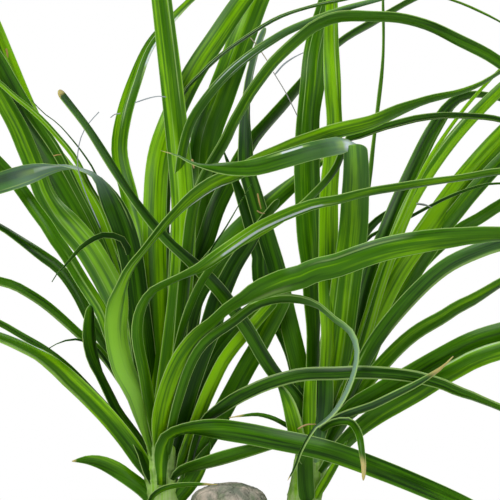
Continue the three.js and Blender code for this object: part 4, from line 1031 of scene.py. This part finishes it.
def with_drains(pot):
    cutters = bpy.data.meshes.new("drains")
    build = bmesh.new()
    for i in range(DRAIN_COUNT):
        angle = 2 * math.pi * i / DRAIN_COUNT
        made = bmesh.ops.create_cone(
            build, cap_ends=True, segments=DRAIN_SIDES, radius1=DRAIN_RADIUS,
            radius2=DRAIN_RADIUS, depth=3 * POT_FLOOR,
        )
        place = Vector((DRAIN_CIRCLE * math.cos(angle), DRAIN_CIRCLE * math.sin(angle), 0))
        bmesh.ops.translate(build, verts=made["verts"], vec=place)
    build.to_mesh(cutters)
    build.free()
    cutter = placed("drains", cutters)
    cut = pot.modifiers.new("drains", "BOOLEAN")
    cut.operation = "DIFFERENCE"
    cut.object = cutter
    bake_modifiers(pot)
    bpy.data.objects.remove(cutter)


def bake_modifiers(piece):
    """Makes what the modifiers show into the piece's own mesh and takes them away."""
    evaluated = piece.evaluated_get(bpy.context.evaluated_depsgraph_get())
    mesh = bpy.data.meshes.new_from_object(evaluated)
    piece.modifiers.clear()
    piece.data = mesh


def bark_swell(angle, up):
    """The trunk's broad lumps, as a share of its radius, at a height in millimetres."""
    above = float(smooth_step(*SWELL_STARTS, up))
    below = 1 - float(smooth_step(*SWELL_EASES, up))
    ridges = math.sin(5 * angle + up * 0.021) + 0.6 * math.sin(9 * angle - up * 0.034)
    lumps = math.sin(2 * angle + up * 0.05) + math.sin(3 * angle - up * 0.083)
    return 1 + SWELL * (ridges + lumps) * above * (SWELL_AT_TOP + (1 - SWELL_AT_TOP) * below)


TRUNK_PROFILE = [
    (0, 96), (30, 96), (42, 112), (52, 134), (60, 160), (64.5, 184), (65.5, 202), (61, 222),
    (53, 242), (44.5, 262), (38, 284), (33.5, 308), (30.5, 332), (28.5, 356), (27.5, 374),
    (27, 386), (25, 391), (20, 395), (13, 398), (6, 399.6), (0, 400),
]


def trunk_mesh(settings):
    relief = settings.relief / MM

    def shape(angle, radius, up):
        radius, up = radius / MM, up / MM
        swell = radius * bark_swell(angle, up)
        spot = Vector((math.cos(angle) * swell, math.sin(angle) * swell, up))
        across = CRACK_ACROSS
        crack = noise.noise(Vector((spot.x * across, spot.y * across, spot.z * CRACK_UP)))
        lump = noise.noise(spot * LUMP_SCALE)
        grain = noise.noise(spot * GRAIN_SCALE)
        crack = 1.1 * max(0.0, CRACK_WIDTH - abs(crack)) / CRACK_WIDTH * 0.5
        depth = relief * (0.7 * lump + 0.35 * grain - crack)
        cap = float(smooth_step(*CUT_STARTS, up))
        return (swell + depth * (1 - cap)) * MM, (up + depth * cap * min(1, radius / 8)) * MM

    profile = [(r * MM, z * MM) for r, z in TRUNK_PROFILE]
    smooth = Route([(r, z, 0) for r, z in profile[1:-1]])
    shares = np.linspace(0, 1, TRUNK_RINGS)
    points = [(float(p[0]), float(p[1])) for p in smooth.at(shares)]
    return lathe("trunk_bark", [profile[0], *points, profile[-1]], TRUNK_SIDES, shape)


def soil_mesh():
    edge = UNDER_RIM_RADIUS - POT_WALL - SOIL_GAP
    foot = INSIDE_FOOT_RADIUS - MM
    bottom = POT_FLOOR + SOIL_FLOOR_GAP
    profile = [
        (0, bottom), (INSIDE_FOOT_RADIUS - POT_CORNER - MM, bottom),
        (foot, POT_FLOOR + POT_CORNER), (edge, BAND_BOTTOM),
        (edge + 0.8 * MM, SOIL_TOP - SOIL_SHOULDER), (edge - 1 * MM, SOIL_TOP),
        (HOLE_RADIUS, SOIL_TOP), (HOLE_RADIUS - HOLE_SLOPE, SOIL_TOP - HOLE_DEPTH),
        (0, SOIL_TOP - HOLE_DEPTH),
    ]

    def shape(angle, radius, up):
        if up < SOIL_TOP - SOIL_RELIEF_DEPTH:
            return radius, up
        spot = Vector((radius * math.cos(angle), radius * math.sin(angle), 0)) / MM
        crumbs = noise.fractal(spot * CRUMB_SCALE, 1.0, 2.0, 4) * CRUMB_HEIGHT
        clods = noise.noise(spot * CLOD_SCALE) * CLOD_HEIGHT
        return radius, up + (crumbs + clods) * MM

    return lathe("soil_bed", dense(profile, SOIL_STEP), SOIL_SIDES, shape)


# Scattered grains

GRAIN_LUMPS = 1.3
GRAIN_RELIEF = 1.1
SMALLEST_GRAIN, LARGEST_GRAIN = (0.25, 0.25, 0.2), (1.0, 1.0, 0.75)  # shares of the radius
GRAIN_TURN = (0.8, 0.8, 6.28)
GRAIN_FACES = 2  # subdivisions of a grain
CRUMB_SEED, GRIT_SEED = 3, 8
GRIT_SIZE = 0.7  # share of the crumbs' radius
DECIMETRES = 100.0  # square decimetres in a square metre


def grain_tree(name, material):
    """Geometry Nodes: grains of uneven size and turn, scattered over the top of a surface."""
    tree = bpy.data.node_groups.new(name, "GeometryNodeTree")
    for label, kind in (("Geometry", "Geometry"), ("Density", "Float"), ("Radius", "Float"),
                        ("Seed", "Int"), ("Lowest", "Float"), ("Faces", "Int")):
        tree.interface.new_socket(label, in_out="INPUT", socket_type="NodeSocket" + kind)
    tree.interface.new_socket("Geometry", in_out="OUTPUT", socket_type="NodeSocketGeometry")

    def node(kind, inputs, **modes):
        made = tree.nodes.new(kind)
        for mode, choice in modes.items():
            setattr(made, mode, choice)
        for key, value in inputs.items():
            if isinstance(value, bpy.types.NodeSocket):
                tree.links.new(value, made.inputs[key])
            else:
                made.inputs[key].default_value = value
        return made.outputs

    given = node("NodeGroupInput", {})
    place = node("GeometryNodeInputPosition", {})
    split = node("ShaderNodeSeparateXYZ", {"Vector": place["Position"]})
    high = node("FunctionNodeCompare", {"A": split["Z"], "B": given["Lowest"]},
                operation="GREATER_THAN")
    points = node("GeometryNodeDistributePointsOnFaces", {
        "Mesh": given["Geometry"], "Selection": high["Result"], "Density": given["Density"],
        "Seed": given["Seed"],
    })
    grain = node("GeometryNodeMeshIcoSphere", {"Subdivisions": given["Faces"]})
    wobble = node("ShaderNodeTexNoise", {"Scale": GRAIN_LUMPS})
    centred = node("ShaderNodeVectorMath", {0: wobble["Color"], 1: (0.5, 0.5, 0.5)},
                   operation="SUBTRACT")
    pushed = node("ShaderNodeVectorMath", {0: centred["Vector"], "Scale": GRAIN_RELIEF},
                  operation="SCALE")
    rough = node("GeometryNodeSetPosition", {
        "Geometry": grain["Mesh"], "Offset": pushed["Vector"],
    })
    size = node("FunctionNodeRandomValue", {
        "Min": SMALLEST_GRAIN, "Max": LARGEST_GRAIN, "Seed": given["Seed"],
    }, data_type="FLOAT_VECTOR")
    turn = node("FunctionNodeRandomValue", {"Max": GRAIN_TURN}, data_type="FLOAT_VECTOR")
    scaled = node("ShaderNodeVectorMath", {0: size["Value"], "Scale": given["Radius"]},
                  operation="SCALE")
    stamps = node("GeometryNodeInstanceOnPoints", {
        "Points": points["Points"], "Instance": rough["Geometry"], "Scale": scaled["Vector"],
        "Rotation": turn["Value"],
    })
    real = node("GeometryNodeRealizeInstances", {"Geometry": stamps["Instances"]})
    painted = node("GeometryNodeSetMaterial", {
        "Geometry": real["Geometry"], "Material": material,
    })
    node("NodeGroupOutput", {"Geometry": painted["Geometry"]})
    return tree


def scatter(name, ground, material, density, radius, seed):
    tree = grain_tree(name, material)
    piece = placed(name, ground.data.copy())
    spread = piece.modifiers.new(name, "NODES")
    spread.node_group = tree
    values = {
        "Density": density * DECIMETRES, "Radius": radius, "Seed": seed,
        "Lowest": SOIL_TOP - SOIL_SHOULDER, "Faces": GRAIN_FACES,
    }
    for item in tree.interface.items_tree:
        if item.in_out == "INPUT" and item.name in values:
            spread[item.identifier] = values[item.name]
    bake_modifiers(piece)
    return piece


# Shoots


def skirt(blades, shoot):
    """The low leaves that hang round a shoot, placed by the same draws as in the part's source."""
    state = shoot["seed"]

    def draw():
        nonlocal state
        state = (state * DRAW_FACTOR + DRAW_STEP) % DRAW_RANGE
        return state / DRAW_RANGE

    foot = CatmullUniform(shoot["axis"])
    for i in range(SKIRT_COUNT):
        spread = (i + 0.5) / SKIRT_COUNT - 0.5
        angle = shoot["outward"] + spread * SKIRT_SPREAD + (draw() - 0.5) * SKIRT_JITTER
        size = SKIRT_SMALLEST + SKIRT_SIZES * draw()
        start = foot.at(SKIRT_LOWEST + SKIRT_ROOTS * draw())
        start[2] = min(start[2], SKIRT_START)
        sway = (draw() - 0.5) * SKIRT_SWAY
        points = []
        for out, up in SKIRT_PATH:
            heading = angle + sway * out / SWAY_REACH
            offset = np.array((math.cos(heading) * out, math.sin(heading) * out, up))
            points.append(tuple(start + offset * size))
        turn = math.degrees((draw() - 0.5) * SKIRT_TURN)
        blades.add(points, SKIRT_WIDTH, [0, turn], UPWARD)


class CatmullUniform:
    """A stem's axis, read at a share of its points as the part's source reads it."""

    def __init__(self, points):
        self.route = Route(points)
        self.count = len(points) - 1

    def at(self, share):
        step = share * self.count * Route.STEPS
        start = int(step)
        places = self.route.places
        return places[start] + (places[start + 1] - places[start]) * (step - start)


def stem_mesh(shoot):
    """The woody stem with its ring scars, topped by the bud of leaf bases."""
    route = Route([Vector(point) for point in shoot["axis"]])
    build = bmesh.new()
    rings = []
    angles = [2 * math.pi * i / STEM_SIDES for i in range(STEM_SIDES)]
    shares = np.linspace(0, 1, STEM_RINGS)
    centres, headings = route.at(shares), route.heading(shares)
    draw = random.Random(shoot["seed"])
    for share, centre, heading in zip(shares, centres, headings):
        heading = Vector(heading)
        side = heading.cross(Vector((0, 1, 0))).normalized()
        ahead = side.cross(heading)
        scar = SCAR_HEIGHT * max(0.0, math.sin(share * route.length * SCAR_PITCH)) ** 4
        ring = []
        for angle in angles:
            spot = Vector(centre) + side * math.cos(angle) * 12 + ahead * math.sin(angle) * 12
            radius = SHOOT_RADIUS - STEM_INSET + scar + 0.5 * noise.noise(spot * 0.25)
            spot = Vector(centre) + (side * math.cos(angle) + ahead * math.sin(angle)) * radius
            ring.append(build.verts.new(spot * MM))
        rings.append(ring)
    end = Vector(shoot["axis"][-1])
    for radius, up in BUD_PROFILE:
        ring = []
        for angle in angles:
            wave = 1 + BUD_WAVE * draw.random() * math.sin(3 * angle)
            flat = side * math.cos(angle) + ahead * math.sin(angle)
            flat = flat * (radius - STEM_INSET) * wave if radius > 1 else flat * BUD_TIP
            ring.append(build.verts.new((end + flat + Vector((0, 0, up))) * MM))
        rings.append(ring)
    return ring_mesh(shoot["name"] + "_stem", build, rings)


def stem_material(settings, bark):
    graph = Graph("stem_skin")
    place = graph.place()
    height = graph.node("ShaderNodeSeparateXYZ", Vector=place)
    rings = graph.noise(graph.scaled(place, (30, 30, 420)), 1.0, 3.0, 0.6)
    patches = graph.noise(place, 110.0, 4.0, 0.6)
    skin = graph.mix(graph.span(patches, 0.35, 0.65), bark.grey, bark.beige)
    skin = graph.mix(graph.span(rings, 0.55, 0.7, 0.0, 0.7), skin, bark.dark)
    streaks = graph.noise(graph.scaled(place, (420, 420, 18)), 1.0, 3.0, 0.6)
    green = graph.mix(graph.span(streaks, 0.35, 0.65), settings.bright, settings.edge)
    green = graph.mix(graph.span(patches, 0.4, 0.7, 0.0, 0.5), green, settings.middle)
    skin = graph.mix(graph.span(height.outputs["Z"], *STEM_GREENS), skin, green)
    graph.surface(
        Base_Color=skin, Roughness=0.6, Normal=graph.bump(rings, 0.0006, 0.6),
    )
    return graph.material


# Fine fibres that hang between the leaves: width, share of tan, depth and route of each
THREAD_SEED = 5
THREADS = [
    (0.7, 0.0, -8, "-91,659 -99,650 -104,640 -106,622 -101,604 -90,578"),
    (0.7, 0.1, -4, "-83,655 -80,657.3 -76,658"),
    (0.9, 0.0, 12, "-66,665.5 -55,669 -49,670 -44,669.5"),
    (0.6, 0.5, -6, "15,711 20,705 28,693"),
    (0.6, 0.2, -4, "31,687 40,672 48,656"),
    (1.2, 0.0, 6, "32,685 38,692 45,697 52,700.5"),
    (1.0, 0.1, 8, "131,595 137,594.3 142,592"),
    (1.0, 0.8, -4, "95.4,447 94.6,444.5 94.2,441"),
    (1.6, 0.9, -74, "-26,626 -25,622 -24.5,619.5"),
    (1.1, 1.0, -46, "20,602 21,597 22.5,591"),
    (0.9, 0.9, -46, "19.5,590 22,588.5 25,588"),
    (1.2, 0.9, -32, "48,437 54,440 61,440.5"),
    (1.5, 1.0, 120, "-156,703.5 -155.3,700.5 -154.8,697"),
    (0.9, 1.0, 8, "-123,628.2 -120,629 -117,629"),
]


def thread_material(settings, bark):
    graph = Graph("dry_fibre")
    shreds = graph.noise(graph.scaled(graph.uv("blade_mm"), (2.5, 0.25, 1)), 1.0, 3.0, 0.6)
    fibre = graph.mix(graph.value("tone"), settings.fibre, settings.flake)
    fibre = graph.mix(graph.span(shreds, 0.5, 0.75, 0.0, 0.4), fibre, bark.dark)
    graph.surface(Base_Color=fibre, Roughness=0.7, Normal=graph.bump(shreds, 0.0002, 0.5))
    return graph.material


def build_shoot(shoot):
    settings = bpy.context.scene.palm_leaf
    material = bpy.data.materials.get("leaf_green") or leaf_material(settings)
    blades = Blades(settings, shoot["seed"])
    facings = [TO_VIEWER] * len(shoot["leaves"]) + [None] * len(shoot["behind"])
    for entry, facing in zip(shoot["leaves"] + shoot["behind"], facings):
        points = route_points(entry)
        length = Route(points).length
        traced = 1 - entry["free_end"] / length
        blades.add(
            points, entry["width"], entry["turns"], facing, traced, entry["cut"],
            entry["tones"], entry["sheens"], entry["dried"], entry["lines"],
        )
    skirt(blades, shoot)
    leaves = blades.finish(shoot["name"] + "_leaves", material)
    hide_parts(shoot["node"])
    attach(leaves, BODY)
    skin = bpy.data.materials.get("stem_skin")
    if skin is None:
        skin = stem_material(settings, bpy.context.scene.palm_bark)
    mesh = stem_mesh(shoot)
    mesh.materials.append(skin)
    stem = placed(shoot["name"] + "_stem", mesh)
    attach(stem, BODY)


# Operators


class PALM_OT_pot(bpy.types.Operator):
    """Make the clay pot with its drain holes"""

    bl_idname = "palm.pot"
    bl_label = "Clay Pot"

    def execute(self, context):
        settings = context.scene.palm_pot
        mesh = pot_mesh(settings)
        mesh.materials.append(clay_material(settings))
        pot = placed("pot_clay", mesh)
        with_drains(pot)
        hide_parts("pot")
        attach(pot, BODY)
        return {"FINISHED"}


class PALM_OT_soil(bpy.types.Operator):
    """Make the soil with its crumbs and grit"""

    bl_idname = "palm.soil"
    bl_label = "Soil"

    def execute(self, context):
        settings = context.scene.palm_soil
        mesh = soil_mesh()
        mesh.materials.append(soil_material("damp_soil", settings.dark, settings.light, 160.0))
        bed = placed("soil_bed", mesh)
        crumb = soil_material("soil_crumb", settings.dark, settings.light, 60.0)
        grit = soil_material("pale_grit", settings.light, settings.grit, 300.0)
        crumbs = scatter(
            "soil_crumbs", bed, crumb, settings.crumb_count, settings.crumb, CRUMB_SEED,
        )
        grains = scatter(
            "soil_grit", bed, grit, settings.grit_count, settings.crumb * GRIT_SIZE, GRIT_SEED,
        )
        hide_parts("soil")
        for piece in (bed, crumbs, grains):
            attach(piece, BODY)
        return {"FINISHED"}


class PALM_OT_trunk(bpy.types.Operator):
    """Make the topped trunk with its swollen foot and corky bark"""

    bl_idname = "palm.trunk"
    bl_label = "Trunk"

    def execute(self, context):
        settings = context.scene.palm_bark
        mesh = trunk_mesh(settings)
        mesh.materials.append(bark_material(settings))
        trunk = placed("trunk_bark", mesh)
        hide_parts("trunk")
        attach(trunk, BODY)
        return {"FINISHED"}


class PALM_OT_left_shoot(bpy.types.Operator):
    """Make the left shoot's stem and leaves"""

    bl_idname = "palm.left_shoot"
    bl_label = "Left Shoot"

    def execute(self, context):
        build_shoot(LEFT_SHOOT)
        return {"FINISHED"}


class PALM_OT_right_shoot(bpy.types.Operator):
    """Make the right shoot's stem and leaves"""

    bl_idname = "palm.right_shoot"
    bl_label = "Right Shoot"

    def execute(self, context):
        build_shoot(RIGHT_SHOOT)
        return {"FINISHED"}


class PALM_OT_threads(bpy.types.Operator):
    """Lay the fine dry fibres and flakes between the leaves"""

    bl_idname = "palm.threads"
    bl_label = "Threads"

    def execute(self, context):
        settings = context.scene.palm_leaf
        blades = Blades(settings, THREAD_SEED)
        for width, tan, depth, route in THREADS:
            points = route_points(leaf(width, "0 0", f"{depth} {depth}", 0, route))
            blades.add(points, width, (0, 0), TO_VIEWER, tones=(tan, tan), dried=0)
        material = thread_material(settings, context.scene.palm_bark)
        threads = blades.finish("leaf_threads", material)
        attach(threads, BODY)
        return {"FINISHED"}


# Each light's name, as in the settings, where it stands and its spread in degrees
LIGHTS = (
    ("key", (-0.55, -0.75, 0.95), 34),
    ("fill", (0.9, -0.7, 0.45), 50),
    ("rim", (0.25, 0.7, 1.0), 40),
)


def far_light(name, towards, energy, spread):
    """A wide light so far off that it falls evenly on the whole floor."""
    light = bpy.data.lights.new(name, "SUN")
    light.energy = energy
    light.angle = math.radians(spread)
    lamp = bpy.data.objects.new(name, light)
    bpy.context.scene.collection.objects.link(lamp)
    lamp.location = Vector(towards) * 3
    lamp.rotation_euler = (-Vector(towards)).to_track_quat("-Z", "Y").to_euler()


class PALM_OT_stage(bpy.types.Operator):
    """Make the pale floor, the soft light and the camera of the front view"""

    bl_idname = "palm.stage"
    bl_label = "Stage"

    def execute(self, context):
        settings = context.scene.palm_studio
        floor_mesh = bpy.data.meshes.new("floor")
        build = bmesh.new()
        bmesh.ops.create_circle(
            build, cap_ends=True, segments=FLOOR_SIDES, radius=settings.floor_radius,
        )
        build.to_mesh(floor_mesh)
        build.free()
        pale = Graph("pale_floor")
        pale.surface(Base_Color=settings.floor, Roughness=0.8)
        floor_mesh.materials.append(pale.material)
        placed("floor", floor_mesh)
        for name, towards, spread in LIGHTS:
            far_light(name, towards, getattr(settings, name), spread)
        self.light_all_round(context, settings)
        camera = bpy.data.cameras.new("front")
        camera.sensor_width = SENSOR_WIDTH
        camera.lens = SENSOR_WIDTH * VIEW_DISTANCE / VIEW_WIDTH
        camera.clip_end = VIEW_END
        eye = bpy.data.objects.new("front", camera)
        context.scene.collection.objects.link(eye)
        eye.location = (VIEW_ACROSS, -VIEW_DISTANCE, VIEW_HEIGHT)
        eye.rotation_euler = (math.pi / 2, 0, 0)
        context.scene.camera = eye
        context.scene.view_settings.view_transform = "Standard"
        return {"FINISHED"}

    def light_all_round(self, context, settings):
        """White behind the plant, and a dimmer grey for the light that it casts."""
        world = bpy.data.worlds.new("studio")
        world.use_nodes = True
        tree = world.node_tree
        tree.nodes.clear()
        seen, cast = (tree.nodes.new("ShaderNodeBackground") for _ in range(2))
        for background in (seen, cast):
            background.inputs["Color"].default_value = (1, 1, 1, 1)
        cast.inputs["Strength"].default_value = settings.ambient
        path = tree.nodes.new("ShaderNodeLightPath")
        mix = tree.nodes.new("ShaderNodeMixShader")
        out = tree.nodes.new("ShaderNodeOutputWorld")
        tree.links.new(path.outputs["Is Camera Ray"], mix.inputs["Fac"])
        tree.links.new(cast.outputs["Background"], mix.inputs[1])
        tree.links.new(seen.outputs["Background"], mix.inputs[2])
        tree.links.new(mix.outputs["Shader"], out.inputs["Surface"])
        context.scene.world = world


class PALM_PT_sidebar(bpy.types.Panel):
    """Lists the plant's settings and pieces"""

    bl_idname = "PALM_PT_sidebar"
    bl_label = "Ponytail Palm"
    bl_space_type = "VIEW_3D"
    bl_region_type = "UI"
    bl_category = "Palm"

    def draw(self, context):
        scene = context.scene
        for attribute in SETTINGS:
            box = self.layout.box()
            group = getattr(scene, attribute)
            for name in group.__annotations__:
                box.prop(group, name)
        for operator in PIECES:
            self.layout.operator(operator.bl_idname)


SETTINGS = {
    "palm_leaf": PalmLeafSettings,
    "palm_pot": PalmPotSettings,
    "palm_soil": PalmSoilSettings,
    "palm_bark": PalmBarkSettings,
    "palm_studio": PalmStudioSettings,
}
PIECES = (
    PALM_OT_stage, PALM_OT_pot, PALM_OT_soil, PALM_OT_trunk, PALM_OT_left_shoot,
    PALM_OT_right_shoot, PALM_OT_threads,
)


def register():
    for made in (*SETTINGS.values(), *PIECES, PALM_PT_sidebar):
        bpy.utils.register_class(made)
    for attribute, group in SETTINGS.items():
        setattr(bpy.types.Scene, attribute, bpy.props.PointerProperty(type=group))


def unregister():
    for attribute in SETTINGS:
        delattr(bpy.types.Scene, attribute)
    for made in reversed((*SETTINGS.values(), *PIECES, PALM_PT_sidebar)):
        bpy.utils.unregister_class(made)


def main():
    register()
    bpy.ops.palm.stage()
    bpy.ops.palm.pot()
    bpy.ops.palm.soil()
    bpy.ops.palm.trunk()
    bpy.ops.palm.left_shoot()
    bpy.ops.palm.right_shoot()
    bpy.ops.palm.threads()


if __name__ == "__main__":
    main()
